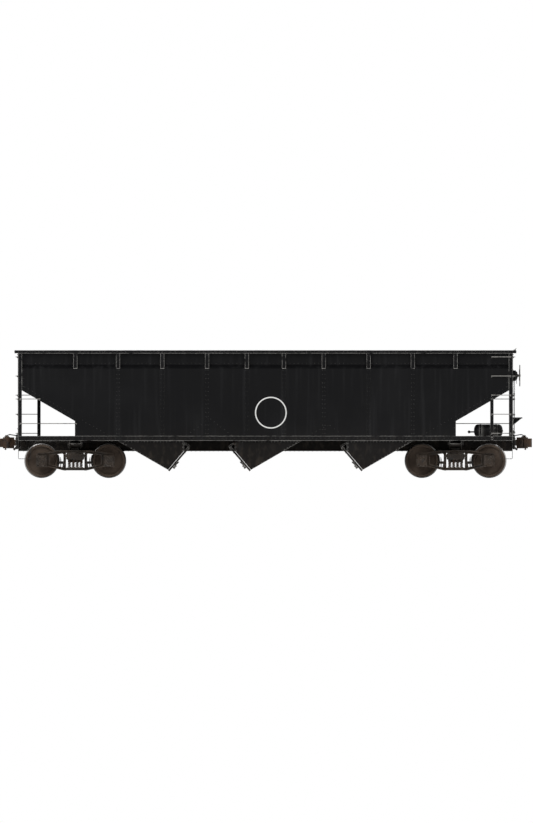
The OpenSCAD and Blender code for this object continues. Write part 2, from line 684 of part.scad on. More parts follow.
// Brake pipe ends: a cock beside each striker, hung from the end sill
cock_y = 330;
cock_z = coupler_z - 130;
cock_x = post_x + 45;
pipe_d = 42;
pipe_back = 260;
hanger_w = 30;
module angle_cock() {
    bar_x([post_x - pipe_back, cock_y, cock_z], pipe_back + 30, pipe_d);
    bar_x([cock_x - 30, cock_y, cock_z], 60, 70);
    translate([cock_x, cock_y, cock_z]) {
        rotate([0, 60, 0]) cylinder(d = 48, h = 95);
        cylinder(d = 26, h = 62);
    }
    block([post_x - 70, cock_y - hanger_w / 2, cock_z], [post_x - 40, cock_y + hanger_w / 2, sill_z]);
}
module brake_pipe_ends() color("#1c1d1f") opposite_corners() angle_cock();

// ---- Doors: each bay's two doors are joined by a beam below the centre sill ----
door_t = 8;
door_side_y = flange_y + run_gap;
door_lap = 20;
function door_edge(u) = door_lap + sill_flange_y
    - chute_lean * (1 - u * sin(door_angle) / (sill_z - door_z));
door_plan = [
    [0, door_side_y], [door_len, door_side_y], [door_len, door_edge(door_len)], [0, door_edge(0)]];
frame_w = 14;
hinge_u = hinge_out * cos(door_angle) + (hinge_z - door_z) * sin(door_angle);
hinge_v = -hinge_out * sin(door_angle) + (hinge_z - door_z) * cos(door_angle);
strap_r = 25;
strap_face = [
    [door_len - 200, -door_t / 2], [door_len - 200, -door_depth], [door_len + 25, -door_depth],
    [door_len + 55, -15], [hinge_u + strap_r - 2, hinge_v - 5], [hinge_u - strap_r + 2, hinge_v - 5],
    [door_len + 5, 5], [door_len - 10, -door_t / 2]];
beam_u = 150;
beam_w = 60;
beam_h = 45;
module door_pair(bay) in_bay(bay) translate([0, 0, door_z]) rotate([0, -door_angle, 0]) {
    both_sides() {
        translate([0, 0, -door_t]) linear_extrude(door_t) polygon(door_plan);
        translate([0, 0, -door_depth]) linear_extrude(door_depth) difference() {
            polygon(door_plan);
            polygon(grown(door_plan, -frame_w));
        }
        for (y = [strap_in_y, strap_out_y]) {
            along_y(strap_w, y) difference() {
                union() {
                    polygon(strap_face);
                    translate([hinge_u, hinge_v]) circle(strap_r);
                }
                translate([hinge_u, hinge_v]) circle(d = hinge_pin_d + 2);
            }
            block([0, y - 6, -door_depth], [door_len, y + 6, -door_t / 2]);
        }
    }
    block([beam_u, -strap_out_y, -door_depth - beam_h], [beam_u + beam_w, strap_out_y, -door_depth]);
}
module door_pair_1() color("#1a1a1b") door_pair(bays[0]);
module door_pair_2() color("#1a1a1b") door_pair(bays[1]);
module door_pair_3() color("#1a1a1b") door_pair(bays[2]);

// ---- Bogies, drawn about their pivot ----
axle_x = axle_spacing / 2;
frame_y = journal_centres / 2;
frame_half = 70;
frame_web = 30;
box_half = 140;
box_low = 290;
box_top = 590;
seat_z = 262;
column_x = 235;
frame_outline = let (half = [
    [300, 195], [axle_x - box_half, box_low], [axle_x + box_half, box_low],
    [axle_x + box_half, box_top], [axle_x + 90, 640], [axle_x - 120, 652], [380, 705]])
    concat(half, [for (i = [len(half) - 1:-1:0]) [-half[i][0], half[i][1]]]);
bolster_window = [[-column_x, seat_z], [column_x, seat_z], [column_x, 640], [-column_x, 640]];
side_window = [[column_x + 70, 272], [axle_x - 208, 352], [axle_x - 208, 585], [column_x + 70, 628]];
module frame_windows(t) {
    polygon(grown(bolster_window, t));
    polygon(rounded(grown(side_window, t), 30));
    mirror([1, 0]) polygon(rounded(grown(side_window, t), 30));
}
module side_frame() difference() {
    union() {
        along_y(frame_web, frame_y) difference() {
            polygon(rounded(frame_outline, 40));
            frame_windows(0);
        }
        along_y(2 * frame_half, frame_y) difference() {
            union() {
                difference() {
                    polygon(rounded(frame_outline, 40));
                    polygon(rounded(grown(frame_outline, -22), 18));
                }
                intersection() {
                    polygon(rounded(frame_outline, 40));
                    frame_windows(18);
                }
            }
            frame_windows(0);
        }
        both_ends() {
            block([axle_x - box_half + 10, frame_y - frame_half - 10, box_low + 5],
                [axle_x + box_half - 10, frame_y + frame_half + 42, box_top + 5]);
            block([axle_x - 105, frame_y + frame_half + 40, box_low + 40],
                [axle_x + 105, frame_y + frame_half + 62, box_top - 25]);
            block([column_x + 40, frame_y - frame_half - 15, axle_z - 85],
                [column_x + 165, frame_y - frame_half + 10, axle_z - 15]);
        }
    }
    both_ends() translate([axle_x, frame_y, axle_z]) rotate([90, 0, 0])
        translate([0, 0, -journal_end]) cylinder(d = journal_d + 6, h = 2 * frame_half + journal_end);
}
journal_end = 102;
module truck_frames() both_sides() side_frame();

bowl_z = plate_z - seat_gap;
bowl_wall = 35;
bolster_top = 640;
truck_bearing_z = bearing_z - 8;
spring_top = 480;
module truck_bolster() {
    both_sides() {
        along_x(380) polygon([
            [0, 400], [500, 410], [frame_y - 120, spring_top], [frame_y + 85, spring_top],
            [frame_y + 85, bolster_top - 15], [frame_y - 120, bolster_top - 10], [0, bolster_top]]);
        block([-column_x + 5, frame_y - frame_half - 25, spring_top],
            [column_x - 5, frame_y + frame_half + 20, bolster_top - 20]);
        block([-bearing_half[0], bearing_y - bearing_half[1], bolster_top - 30],
            [bearing_half[0], bearing_y + bearing_half[1], truck_bearing_z]);
    }
    translate([0, 0, bolster_top - 20]) difference() {
        cylinder(d = centre_plate_d + 2 * bowl_wall + 10,
            h = center_low_z - bolster_pad_t - run_gap - bolster_top + 20);
        translate([0, 0, bowl_z - bolster_top + 20]) cylinder(d = centre_plate_d + 10, h = 100);
    }
}

coil_x = [-150, -50, 50, 150];
coil_r = 46;
spring_plate_t = 8;
module truck_springs() both_sides() {
    for (x = coil_x) translate([x, frame_y, seat_z + spring_plate_t - 1])
        cylinder(r = coil_r, h = spring_top - seat_z - 2 * spring_plate_t + 2);
    for (z = [seat_z, spring_top - spring_plate_t])
        block([-column_x + 15, frame_y - 62, z], [column_x - 15, frame_y + 62, z + spring_plate_t]);
}

shoe_gap = 10;
shoe_t = 38;
beam_z = axle_z - 50;
shoe_back_x = axle_x - wheel_d / 2 - shoe_gap - shoe_t;
tread_y = wheel_backs / 2 + rim_w / 2 + 12;
module brake_beams() both_ends() {
    block([320, -frame_y + frame_half + 15, beam_z - 25], [375, frame_y - frame_half - 15, beam_z + 25]);
    both_sides() {
        block([370, tread_y - 25, beam_z - 22], [shoe_back_x + 12, tread_y + 25, beam_z + 22]);
        intersection() {
            translate([axle_x, tread_y, axle_z]) rotate([90, 0, 0]) difference() {
                cylinder(r = wheel_d / 2 + shoe_gap + shoe_t, h = 84, center = true);
                cylinder(r = wheel_d / 2 + shoe_gap, h = 86, center = true);
            }
            block([0, 0, axle_z - 190], [axle_x - wheel_d / 4, 2 * tread_y, axle_z + 150]);
        }
    }
}
module at_a() translate([-pivot_x, 0, 0]) children();
module at_b() translate([pivot_x, 0, 0]) children();
module truck_frames_a() color("#2b2622") at_a() truck_frames();
module truck_frames_b() color("#2b2622") at_b() truck_frames();
module truck_bolster_a() color("#2b2622") at_a() truck_bolster();
module truck_bolster_b() color("#2b2622") at_b() truck_bolster();
module truck_springs_a() color("#2b2622") at_a() truck_springs();
module truck_springs_b() color("#2b2622") at_b() truck_springs();
module brake_beams_a() color("#2b2622") at_a() brake_beams();
module brake_beams_b() color("#2b2622") at_b() brake_beams();

// ---- Wheelsets: an axle with its two wheels, as one turned outline ----
tread_r = wheel_d / 2;
back_y = wheel_backs / 2;
face_y = back_y + rim_w;
wheel_half = [
    [75, 0], [82, 560], [84, back_y - 30], [122, back_y - 25], [128, back_y + 25], [140, back_y + 52],
    [tread_r - 62, back_y + 45], [tread_r - 56, back_y], [tread_r + 6, back_y],
    [tread_r + flange_h - 5, back_y + 6], [tread_r + flange_h, back_y + 15],
    [tread_r + flange_h - 5, back_y + 24], [tread_r + 5, back_y + 33], [tread_r, back_y + 55],
    [tread_r - 4, face_y - 5], [tread_r - 9, face_y], [tread_r - 56, face_y], [tread_r - 62, back_y + 75],
    [140, back_y + 80], [128, back_y + 105], [122, face_y + 15], [88, face_y + 18],
    [88, frame_y - 94], [journal_d / 2, frame_y - 88], [journal_d / 2, frame_y + 92], [0, frame_y + 92]];
module wheelset() translate([0, 0, axle_z]) rotate([-90, 0, 0]) rotate_extrude($fn = 96)
    polygon(concat([for (p = backwards(wheel_half)) [p[0], -p[1]]], wheel_half));
module wheelset_a1() color("#3c3a38") at_a() translate([-axle_x, 0, 0]) wheelset();
module wheelset_a2() color("#3c3a38") at_a() translate([axle_x, 0, 0]) wheelset();
module wheelset_b1() color("#3c3a38") at_b() translate([-axle_x, 0, 0]) wheelset();
module wheelset_b2() color("#3c3a38") at_b() translate([axle_x, 0, 0]) wheelset();

side_wall_left();
side_wall_right();
side_stakes_left();
side_stakes_right();
top_chord();
side_sills();
corner_posts();
end_wall_a();
end_wall_b();
end_posts_a();
end_posts_b();
end_sill_a();
end_sill_b();
end_slope_a();
end_slope_b();
cross_ridge_1();
cross_ridge_2();
sill_hood();
hopper_chute_1();
hopper_chute_2();
hopper_chute_3();
center_sill();
body_bolster_a();
body_bolster_b();
coupler_a();
coupler_b();
knuckle_a();
knuckle_b();
ladders();
grab_irons();
sill_steps();
hand_brake();
brake_step();
brake_cylinder();
air_reservoir();
brake_pipe_ends();
door_pair_1();
door_pair_2();
door_pair_3();
truck_frames_a();
truck_frames_b();
truck_bolster_a();
truck_bolster_b();
truck_springs_a();
truck_springs_b();
brake_beams_a();
brake_beams_b();
wheelset_a1();
wheelset_a2();
wheelset_b1();
wheelset_b2();
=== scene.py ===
from math import cos, pi, radians, sin, tan

import bmesh
import bpy
from mathutils import Matrix, Vector


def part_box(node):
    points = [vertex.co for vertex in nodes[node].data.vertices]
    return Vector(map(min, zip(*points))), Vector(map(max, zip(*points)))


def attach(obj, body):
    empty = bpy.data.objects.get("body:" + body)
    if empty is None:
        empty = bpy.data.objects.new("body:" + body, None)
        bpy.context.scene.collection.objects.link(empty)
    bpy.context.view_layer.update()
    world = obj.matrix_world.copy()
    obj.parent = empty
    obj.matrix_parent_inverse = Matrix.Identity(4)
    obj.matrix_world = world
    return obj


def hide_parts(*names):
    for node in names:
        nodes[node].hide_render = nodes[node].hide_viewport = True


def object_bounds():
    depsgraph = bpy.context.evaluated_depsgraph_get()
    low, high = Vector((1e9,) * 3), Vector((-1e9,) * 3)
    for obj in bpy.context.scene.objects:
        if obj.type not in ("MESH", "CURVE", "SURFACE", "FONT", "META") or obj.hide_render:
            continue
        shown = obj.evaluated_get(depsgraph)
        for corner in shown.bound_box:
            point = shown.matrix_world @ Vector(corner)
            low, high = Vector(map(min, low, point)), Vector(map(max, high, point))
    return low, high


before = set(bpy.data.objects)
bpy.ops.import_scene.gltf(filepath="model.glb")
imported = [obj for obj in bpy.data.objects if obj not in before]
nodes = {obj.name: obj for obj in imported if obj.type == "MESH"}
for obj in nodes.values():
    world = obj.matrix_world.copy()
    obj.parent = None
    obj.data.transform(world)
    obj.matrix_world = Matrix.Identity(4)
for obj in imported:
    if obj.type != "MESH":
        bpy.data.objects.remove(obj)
cad_low, cad_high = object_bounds()


# ---- Floor, light and view ----
# The wagon stands on a plain pale floor and is seen square to its side, from level ground,
# with no perspective. Broad lamps light it from the front, from above and a little from behind.

VIEW_WIDTH = 13.67          # length shown across the view
VIEW_SHAPE = 823 / 533      # height of the view over its width
VIEW_CENTRE = Vector((0.028, 0.0, 1.705))
FLOOR_REACH = 400.0
FLOOR_COLOUR = (0.86, 0.86, 0.86)
BACKDROP_COLOUR = (1.0, 1.0, 1.0, 1.0)
ROOM_LIGHT = 0.52           # brightness of the room as the object's dull surfaces see it

view = bpy.data.cameras.new("side_view")
view.type = "ORTHO"
view.ortho_scale = VIEW_WIDTH * VIEW_SHAPE
view.clip_end = 200.0
camera = bpy.data.objects.new("side_view", view)
camera.location = VIEW_CENTRE + Vector((0.0, -40.0, 0.0))
camera.rotation_euler = (radians(90), 0.0, 0.0)
bpy.context.scene.collection.objects.link(camera)
bpy.context.scene.camera = camera
bpy.context.scene.view_settings.view_transform = "Standard"


def lamp(name, strength, spread, heading, height):
    """A distant lamp shining from a compass heading, 0 being the camera's side, at a height in degrees."""
    light = bpy.data.lights.new(name, "SUN")
    light.energy = strength
    light.angle = radians(spread)
    placed = bpy.data.objects.new(name, light)
    placed.rotation_euler = (radians(90 - height), 0.0, radians(heading))
    bpy.context.scene.collection.objects.link(placed)


lamp("front_lamp", 1.25, 30, -28, 42)
lamp("back_lamp", 0.9, 40, 150, 38)
lamp("low_lamp", 0.35, 60, 35, 8)


# ---- Side sheets ----
# The two outer walls are 6 mm steel sheets, hung outside the stakes and stepped inwards near the
# top. They are riveted together and sprayed with black paint, which rain streaks and the load
# scours off the inside. A plain white ring is stencilled on each.

def operator(operation):
    return lambda value, *others: value.maths(operation, value, *others)


class Value:
    """One output of a node. Arithmetic on values adds Math nodes to their tree."""

    def __init__(self, tree, socket):
        self.tree = tree
        self.socket = socket

    def maths(self, operation, *terms):
        return self.tree.node("ShaderNodeMath", {"operation": operation}, dict(enumerate(terms)))

    __add__ = __radd__ = operator("ADD")
    __mul__ = __rmul__ = operator("MULTIPLY")
    __sub__ = operator("SUBTRACT")
    __lt__ = operator("LESS_THAN")
    __gt__ = operator("GREATER_THAN")
    __abs__ = operator("ABSOLUTE")
    root = operator("SQRT")
    wave = operator("SINE")
    highest = operator("MAXIMUM")

    def __rsub__(self, other):
        return self.maths("SUBTRACT", other, self)

    def ramp(self, low, high):
        """0 below low, 1 above high, and a smooth curve between; low may be the larger."""
        return self.tree.node("ShaderNodeMapRange", {"interpolation_type": "SMOOTHSTEP"},
                              {"Value": self, "From Min": low, "From Max": high})


class NodeTree:
    """A node tree in the making. node() is the only way in which nodes are added."""

    def __init__(self, tree):
        self.tree = tree

    def node(self, kind, settings={}, inputs={}, output=0):
        made = self.tree.nodes.new(kind)
        for name, setting in settings.items():
            setattr(made, name, setting)
        for name, value in inputs.items():
            if isinstance(value, Value):
                self.tree.links.new(value.socket, made.inputs[name])
            else:
                made.inputs[name].default_value = value
        return Value(self, made.outputs[output])


class Finish(NodeTree):
    """A material of one Principled surface. fixed holds its constants, and vary() links what changes."""

    def __init__(self, name, **fixed):
        self.material = bpy.data.materials.new(name)
        self.material.use_nodes = True
        super().__init__(self.material.node_tree)
        self.surface = self.tree.nodes["Principled BSDF"]
        for socket, value in fixed.items():
            self.surface.inputs[socket.replace("_", " ")].default_value = value
        self.place = self.node("ShaderNodeTexCoord", output="Object")

    def vary(self, **varying):
        for socket, value in varying.items():
            self.tree.links.new(value.socket, self.surface.inputs[socket.replace("_", " ")])
        return self.material

    def along(self, axis, vector=None):
        return self.node("ShaderNodeSeparateXYZ", {}, {"Vector": vector or self.place}, axis)

    def facing(self, axis):
        return self.along(axis, self.node("ShaderNodeNewGeometry", output="True Normal"))

    def noise(self, scale, stretch=(1, 1, 1), detail=4.0, shift=(0, 0, 0)):
        spot = self.node("ShaderNodeMapping", {}, {"Vector": self.place, "Scale": stretch, "Location": shift})
        return self.node("ShaderNodeTexNoise", {}, {"Vector": spot, "Scale": scale, "Detail": detail})

    def mix(self, amount, without, full):
        shades = [c if isinstance(c, Value) else (*c, 1.0) for c in (without, full)]
        return self.node("ShaderNodeMix", {"data_type": "RGBA"}, {0: amount, 6: shades[0], 7: shades[1]}, 2)

    def edge(self, width):
        """1 on an outside or inside edge of the piece, fading to 0 at this width from it."""
        soft = self.node("ShaderNodeBevel", {"samples": 6}, {"Radius": width})
        hard = self.node("ShaderNodeNewGeometry", output="True Normal")
        turn = self.node("ShaderNodeVectorMath", {"operation": "DOT_PRODUCT"}, {0: soft, 1: hard}, "Value")
        return (1 - turn).ramp(0.004, 0.09)

    def relief(self, height, depth, strength=1.0, under=None):
        inputs = {"Height": height, "Distance": depth, "Strength": strength}
        if under:
            inputs["Normal"] = under
        return self.node("ShaderNodeBump", {}, inputs)


BLACK = (0.0035, 0.0035, 0.004)
FADED_BLACK = (0.015, 0.015, 0.016)
# Pale edge colour: paint rubbed to bare steel, and a painted highlight along the edges
PALE_EDGE_WEAR_AND_HIGHLIGHT = (0.40, 0.39, 0.37)
ROAD_DUST = (0.085, 0.070, 0.056)
SCOURED = (0.098, 0.092, 0.085)
OLD_RUST = (0.080, 0.043, 0.025)
RING_WHITE = (0.80, 0.80, 0.78)
RING_PLACE = (0.140, 1.675)     # lengthwise and height
RING_RADIUS = 0.392
RING_LINE = 0.030
OUTER_FACE_Y = 1.542            # the ring is only on faces further out than this
BEND_Z = 2.854                  # sheets bend here: no pale edge (wear and painted highlight) on the bend
BEND_REACH = 0.075
DUST_HEIGHTS = (1.55, 0.35)     # road dust starts at the first and is full at the second


def black_paint(name, edge_width, dust, wear=1.0, ring=False, inside=""):
    """Black paint, streaked by rain and dusty low down. Its edges are pale, partly where the paint is rubbed
    thin and partly as a painted highlight; wear scales them. The load has scoured the faces that look inwards
    along the axis named by inside, which is "x" or "y"."""
    paint = Finish(name, Specular_IOR_Level=0.10)
    height = paint.along(2)
    streak = paint.noise(2.6, stretch=(3.2, 3.2, 0.16), detail=6.0).ramp(0.50, 0.74)
    blotch = paint.noise(0.55, detail=5.0).ramp(0.42, 0.70)
    grime = paint.noise(9.0, stretch=(1, 1, 0.5), detail=8.0, shift=(3, 1, 7)).ramp(0.46, 0.72)
    low = height.ramp(*DUST_HEIGHTS) * dust
    colour = paint.mix(streak * 0.55 + blotch * 0.25, BLACK, FADED_BLACK)
    colour = paint.mix(low * (grime * 0.7 + 0.3), colour, ROAD_DUST)
    # Pale edges, partly paint rubbed thin and partly a painted highlight on every edge
    worn_and_highlit_edge = paint.edge(edge_width) * paint.noise(5.0, detail=7.0).ramp(0.30, 0.52) * wear
    rough = 0.42 + grime * 0.16 + low * 0.3 + streak * 0.08
    if ring:
        across, up = paint.along(0) - RING_PLACE[0], height - RING_PLACE[1]
        line = abs((across * across + up * up).root() - RING_RADIUS) < RING_LINE / 2
        outside = abs(paint.along(1)) > OUTER_FACE_Y
        chalky = 1 - paint.noise(46.0, detail=3.0).ramp(0.60, 0.72) * 0.45
        colour = paint.mix(line * outside * chalky, colour, RING_WHITE)
        worn_and_highlit_edge = worn_and_highlit_edge * (abs(height - BEND_Z) > BEND_REACH)
    if inside:
        axis = "xy".index(inside)
        inward = (paint.facing(axis) * paint.along(axis)) < -0.4
        rub = paint.noise(2.6, stretch=(2.2, 2.2, 0.7), detail=10.0, shift=(2, 5, 1)).ramp(0.40, 0.68)
        scour = paint.mix(rub, SCOURED, OLD_RUST)
        colour = paint.mix(inward, colour, scour)
        rough = rough + inward * 0.2
    # Lays on the pale edges: part wear, part painted highlight
    colour = paint.mix(worn_and_highlit_edge, colour, PALE_EDGE_WEAR_AND_HIGHLIGHT)
    dents = paint.relief(paint.noise(1.25, stretch=(1, 1, 0.8), detail=1.0), 0.035, 0.22)
    peel = paint.relief(paint.noise(160.0, detail=2.0), 0.0008, 0.25, dents)
    return paint.vary(Base_Color=colour, Roughness=rough, Normal=peel)


def coat(names, material):
    for name in names:
        nodes[name].data.materials.clear()
        nodes[name].data.materials.append(material)


coat(["side_wall_left", "side_wall_right"],
     black_paint("side_paint", 0.010, dust=0.12, ring=True, inside="y"))


# ---- Chords, posts, sills and stakes ----
# The frame round the sheets is pressed and rolled steel, riveted up and painted black with them.
# Its corners are painted pale, partly where handling and loading have rubbed the paint thin and partly as a
# painted highlight.

coat(["top_chord", "side_sills", "corner_posts", "side_stakes_left", "side_stakes_right",
      "end_posts_a", "end_posts_b", "end_sill_a", "end_sill_b"],
     black_paint("member_paint", 0.017, dust=0.2, wear=0.9))
coat(["end_wall_a", "end_wall_b"], black_paint("end_sheet_paint", 0.010, dust=0.2, inside="x"))


# ---- Rivets ----
# Button-head rivets, driven hot, hold the sheets to the stakes, sills, posts and slope sheets.
# Each row is a line on the face of a sheet, with the way that its heads point.

class Recipe(NodeTree):
    """A Geometry Nodes tree with named inputs. make() runs it along paths and keeps a plain mesh."""

    KINDS = {"float": "NodeSocketFloat", "int": "NodeSocketInt", "material": "NodeSocketMaterial"}

    def __init__(self, name, **inputs):
        super().__init__(bpy.data.node_groups.new(name, "GeometryNodeTree"))
        face = self.tree.interface
        face.new_socket("Geometry", in_out="INPUT", socket_type="NodeSocketGeometry")
        face.new_socket("Geometry", in_out="OUTPUT", socket_type="NodeSocketGeometry")
        self.sockets = {key: face.new_socket(key, in_out="INPUT", socket_type=self.KINDS[kind]).identifier
                        for key, kind in inputs.items()}
        self.given = self.tree.nodes.new("NodeGroupInput")
        self.result = self.tree.nodes.new("NodeGroupOutput")

    def input(self, name="Geometry"):
        return Value(self, self.given.outputs[name])

    def ends_in(self, geometry):
        """Every recipe ends by making its copies real and giving them their finish."""
        real = self.node("GeometryNodeRealizeInstances", {}, {"Geometry": geometry})
        done = self.node("GeometryNodeSetMaterial", {},
                         {"Geometry": real, "Material": self.input("Material")})
        self.tree.links.new(done.socket, self.result.inputs[0])

    def make(self, name, paths, body, slot, heads=None, **inputs):
        guide = bpy.data.meshes.new(name + "_paths")
        points = [point for path in paths for point in path]
        starts = [sum(len(path) for path in paths[:i]) for i in range(len(paths))]
        guide.from_pydata(points, [(start + i, start + i + 1) for start, path in zip(starts, paths)
                                   for i in range(len(path) - 1)], [])
        if heads:
            facing = guide.attributes.new("facing", "FLOAT_VECTOR", "POINT")
            spread = [value for path, head in zip(paths, heads) for value in list(head) * len(path)]
            facing.data.foreach_set("vector", spread)
        maker = bpy.data.objects.new(name + "_maker", guide)
        bpy.context.scene.collection.objects.link(maker)
        modifier = maker.modifiers.new("recipe", "NODES")
        modifier.node_group = self.tree
        for key, value in inputs.items():
            modifier[self.sockets[key]] = value
        ready = maker.evaluated_get(bpy.context.evaluated_depsgraph_get())
        mesh = bpy.data.meshes.new_from_object(ready)
        maker.modifiers.clear()
        bpy.data.objects.remove(maker)
        return set_piece(name, mesh, body)


SHARP_CORNER = radians(38)


def set_piece(name, mesh, body, replaced=()):
    """Smooths a finished mesh between its sharp corners and fixes it to its body."""
    mesh.shade_smooth()
    mesh.set_sharp_from_angle(angle=SHARP_CORNER)
    piece = bpy.data.objects.new(name, mesh)
    bpy.context.scene.collection.objects.link(piece)
    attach(piece, body)
    if replaced:
        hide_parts(*replaced)
    return piece


riveter = Recipe("rivet_rows", Pitch="float", Head="float", Material="material")
row = riveter.node("GeometryNodeMeshToCurve", {}, {"Mesh": riveter.input()})
spots = riveter.node("GeometryNodeResampleCurve", {"mode": "LENGTH"},
                     {"Curve": row, "Length": riveter.input("Pitch")})
heading = riveter.node("GeometryNodeInputNamedAttribute", {"data_type": "FLOAT_VECTOR"},
                       {"Name": "facing"})
turn = riveter.node("FunctionNodeAlignRotationToVector", {"axis": "Z"}, {"Vector": heading})
ball = riveter.node("GeometryNodeMeshUVSphere", {},
                    {"Segments": 7, "Rings": 4, "Radius": riveter.input("Head")})
button = riveter.node("GeometryNodeTransform", {}, {"Geometry": ball, "Scale": (1.0, 1.0, 0.62)})
riveter.ends_in(riveter.node("GeometryNodeInstanceOnPoints", {},
                             {"Points": spots, "Instance": button, "Rotation": turn}))

SHEET_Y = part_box("side_wall_left")[1].y         # outer faces of the sheets, sills, posts and chord
SILL_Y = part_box("side_sills")[1].y
SILL_LOW, SILL_TOP = (corner.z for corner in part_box("side_sills"))
CHORD_LOW, CHORD_TOP = (corner.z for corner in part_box("top_chord"))
CHORD_X, CHORD_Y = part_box("top_chord")[1].xy
POST_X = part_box("corner_posts")[1].x
END_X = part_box("end_wall_b")[1].x
BEND_LOW = CHORD_TOP - 0.472                    # where a side sheet starts to step inwards
SLOPE = radians(30)
SLOPE_LIP, SLOPE_LOW = 2.5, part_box("end_slope_b")[0].z
STAKES_X = (0.476, 1.497, 2.646, 3.780)
BOLSTER_X = 4.877
ROW_GAP = 0.062             # between the two rows that hold a sheet to a stake
FOOT_GAP, HEAD_GAP = 0.06, 0.04                 # from a row to the sill below it and the bend above
CHORD_ROW = CHORD_LOW + 0.040
POST_TOP = CHORD_LOW - 0.08
PITCH = 0.105
HEAD = 0.0125


def slope_at(x):
    """Height of an end slope sheet at x."""
    return SLOPE_LOW + (x - SLOPE_LIP) * tan(SLOPE)


def upright(x, y, low, high):
    return [(x, y, low), (x, y, high)]


def along_side(x1, z1, x2, z2, y=SHEET_Y):
    return [(x1, y, z1), (x2, y, z2)]


def mirrored(rows, across):
    return [[(x * across[0], y * across[1], z * across[2]) for x, y, z in line] for line in rows]


# Rows on both halves of a side: stakes, bolster, corner, slope sheet and the edge of the cut-out
half_rows = [upright(x + shift, SHEET_Y, SILL_TOP + FOOT_GAP, BEND_LOW - HEAD_GAP)
             for x in STAKES_X for shift in (-ROW_GAP / 2, ROW_GAP / 2)]
half_rows += [upright(BOLSTER_X - 0.035, SHEET_Y, SILL_TOP + FOOT_GAP, 1.44),
              upright(POST_X - 0.14, SHEET_Y, 2.34, BEND_LOW - HEAD_GAP),
              along_side(3.86, slope_at(3.86), POST_X - 0.17, slope_at(POST_X - 0.17)),
              along_side(4.93, 1.530, POST_X - 0.15, 2.248)]
side_rows = half_rows + mirrored(half_rows, (-1, 1, 1))
# Cross ridges, which lie unevenly between the bays
RIDGE_FOOT = SILL_TOP + 0.02
side_rows += [along_side(-2.00, RIDGE_FOOT, -1.46, 1.51), along_side(-1.41, 1.51, -0.87, RIDGE_FOOT),
              along_side(1.10, RIDGE_FOOT, 1.60, 1.345), along_side(1.66, 1.345, 1.98, RIDGE_FOOT)]
# Sill, chord and the slanted step, from end to end
for reach, y, z in ((END_X - 0.08, SILL_Y, SILL_TOP - 0.055), (POST_X, CHORD_Y, CHORD_ROW),
                    (END_X - 0.03, SHEET_Y - 0.115, BEND_LOW + 0.13)):
    side_rows.append(along_side(-reach, z, reach, z, y))
side_rows += [upright(sign * x + shift, SHEET_Y, BEND_LOW + 0.05, CHORD_LOW - 0.05)
              for x in (*STAKES_X, BOLSTER_X) for sign in (-1, 1) for shift in (-0.026, 0.026)]

# Rows at one corner of an end: post, chord, sill, end sheet and end post
corner_rows = [upright(POST_X, SHEET_Y - 0.072, SILL_TOP, POST_TOP),
               [(CHORD_X, PITCH / 2, CHORD_ROW), (CHORD_X, SHEET_Y - 0.05, CHORD_ROW)],
               [(POST_X, 0.30, 1.142), (POST_X, SHEET_Y - 0.18, 1.142)],
               [(END_X, 0.60, 2.62), (END_X, 1.36, 2.62)], [(END_X, 0.06, 2.62), (END_X, 0.42, 2.62)],
               upright(POST_X - 0.010, 0.495, 1.26, POST_TOP),
               upright(POST_X - 0.010, 0.545, 1.26, POST_TOP)]
corner_heads = [(1, 0, 0)] * len(corner_rows) + [(0, 1, 0)]
corner_rows.append(upright(END_X + 0.045, SHEET_Y, SILL_TOP + 0.07, POST_TOP))

every_way = [(1, 1, 1), (-1, 1, 1), (1, -1, 1), (-1, -1, 1)]
rivet_rows, rivet_heads = [], []
for side in (1, -1):
    rivet_rows += mirrored(side_rows, (1, side, 1))
    rivet_heads += [(0, side, 0)] * len(side_rows)
for across in every_way:
    rivet_rows += mirrored(corner_rows, across)
    rivet_heads += mirrored([corner_heads], across)[0]
riveter.make("body_rivets", rivet_rows, "car_body", "side_black", rivet_heads, Pitch=PITCH, Head=HEAD,
             Material=black_paint("rivet_paint", 0.004, dust=0.2, wear=0.4, ring=True))


# ---- Load floor ----
# End slopes, cross ridges and the hood over the centre sill are plain steel sheets. The load has
# worn their paint off in streaks down the slopes, and the bare steel between has rusted. Below,
# they are still black.

def scoured_sheet(name):
    sheet = Finish(name, Specular_IOR_Level=0.35)
    run = sheet.noise(5.0, stretch=(0.22, 4.0, 0.4), detail=9.0).ramp(0.34, 0.66)
    patch = sheet.noise(0.9, detail=10.0, shift=(4, 2, 9)).ramp(0.47, 0.60)
    left_paint = sheet.noise(1.7, detail=12.0, shift=(1, 8, 2)).ramp(0.63, 0.67)
    colour = sheet.mix(run * 0.6, SCOURED, (0.062, 0.056, 0.050))
    colour = sheet.mix(patch * 0.75, colour, OLD_RUST)
    colour = sheet.mix(left_paint * 0.6, colour, FADED_BLACK)
    scratch = sheet.noise(30.0, stretch=(0.10, 4.0, 0.4), detail=6.0)
    dents = sheet.relief(sheet.noise(1.8, detail=2.0), 0.05, 0.35)
    under = sheet.facing(2) < 0
    black = sheet.mix(sheet.noise(1.6, detail=5.0).ramp(0.40, 0.70), BLACK, FADED_BLACK)
    colour = sheet.mix(under, colour, black)
    return sheet.vary(Base_Color=colour, Roughness=0.50 + run * 0.30 - left_paint * 0.10,
                      Normal=sheet.relief(scratch, 0.002, 0.5, dents))


load_sheet = scoured_sheet("load_sheet")
coat(["end_slope_a", "end_slope_b", "cross_ridge_1", "cross_ridge_2", "sill_hood"], load_sheet)

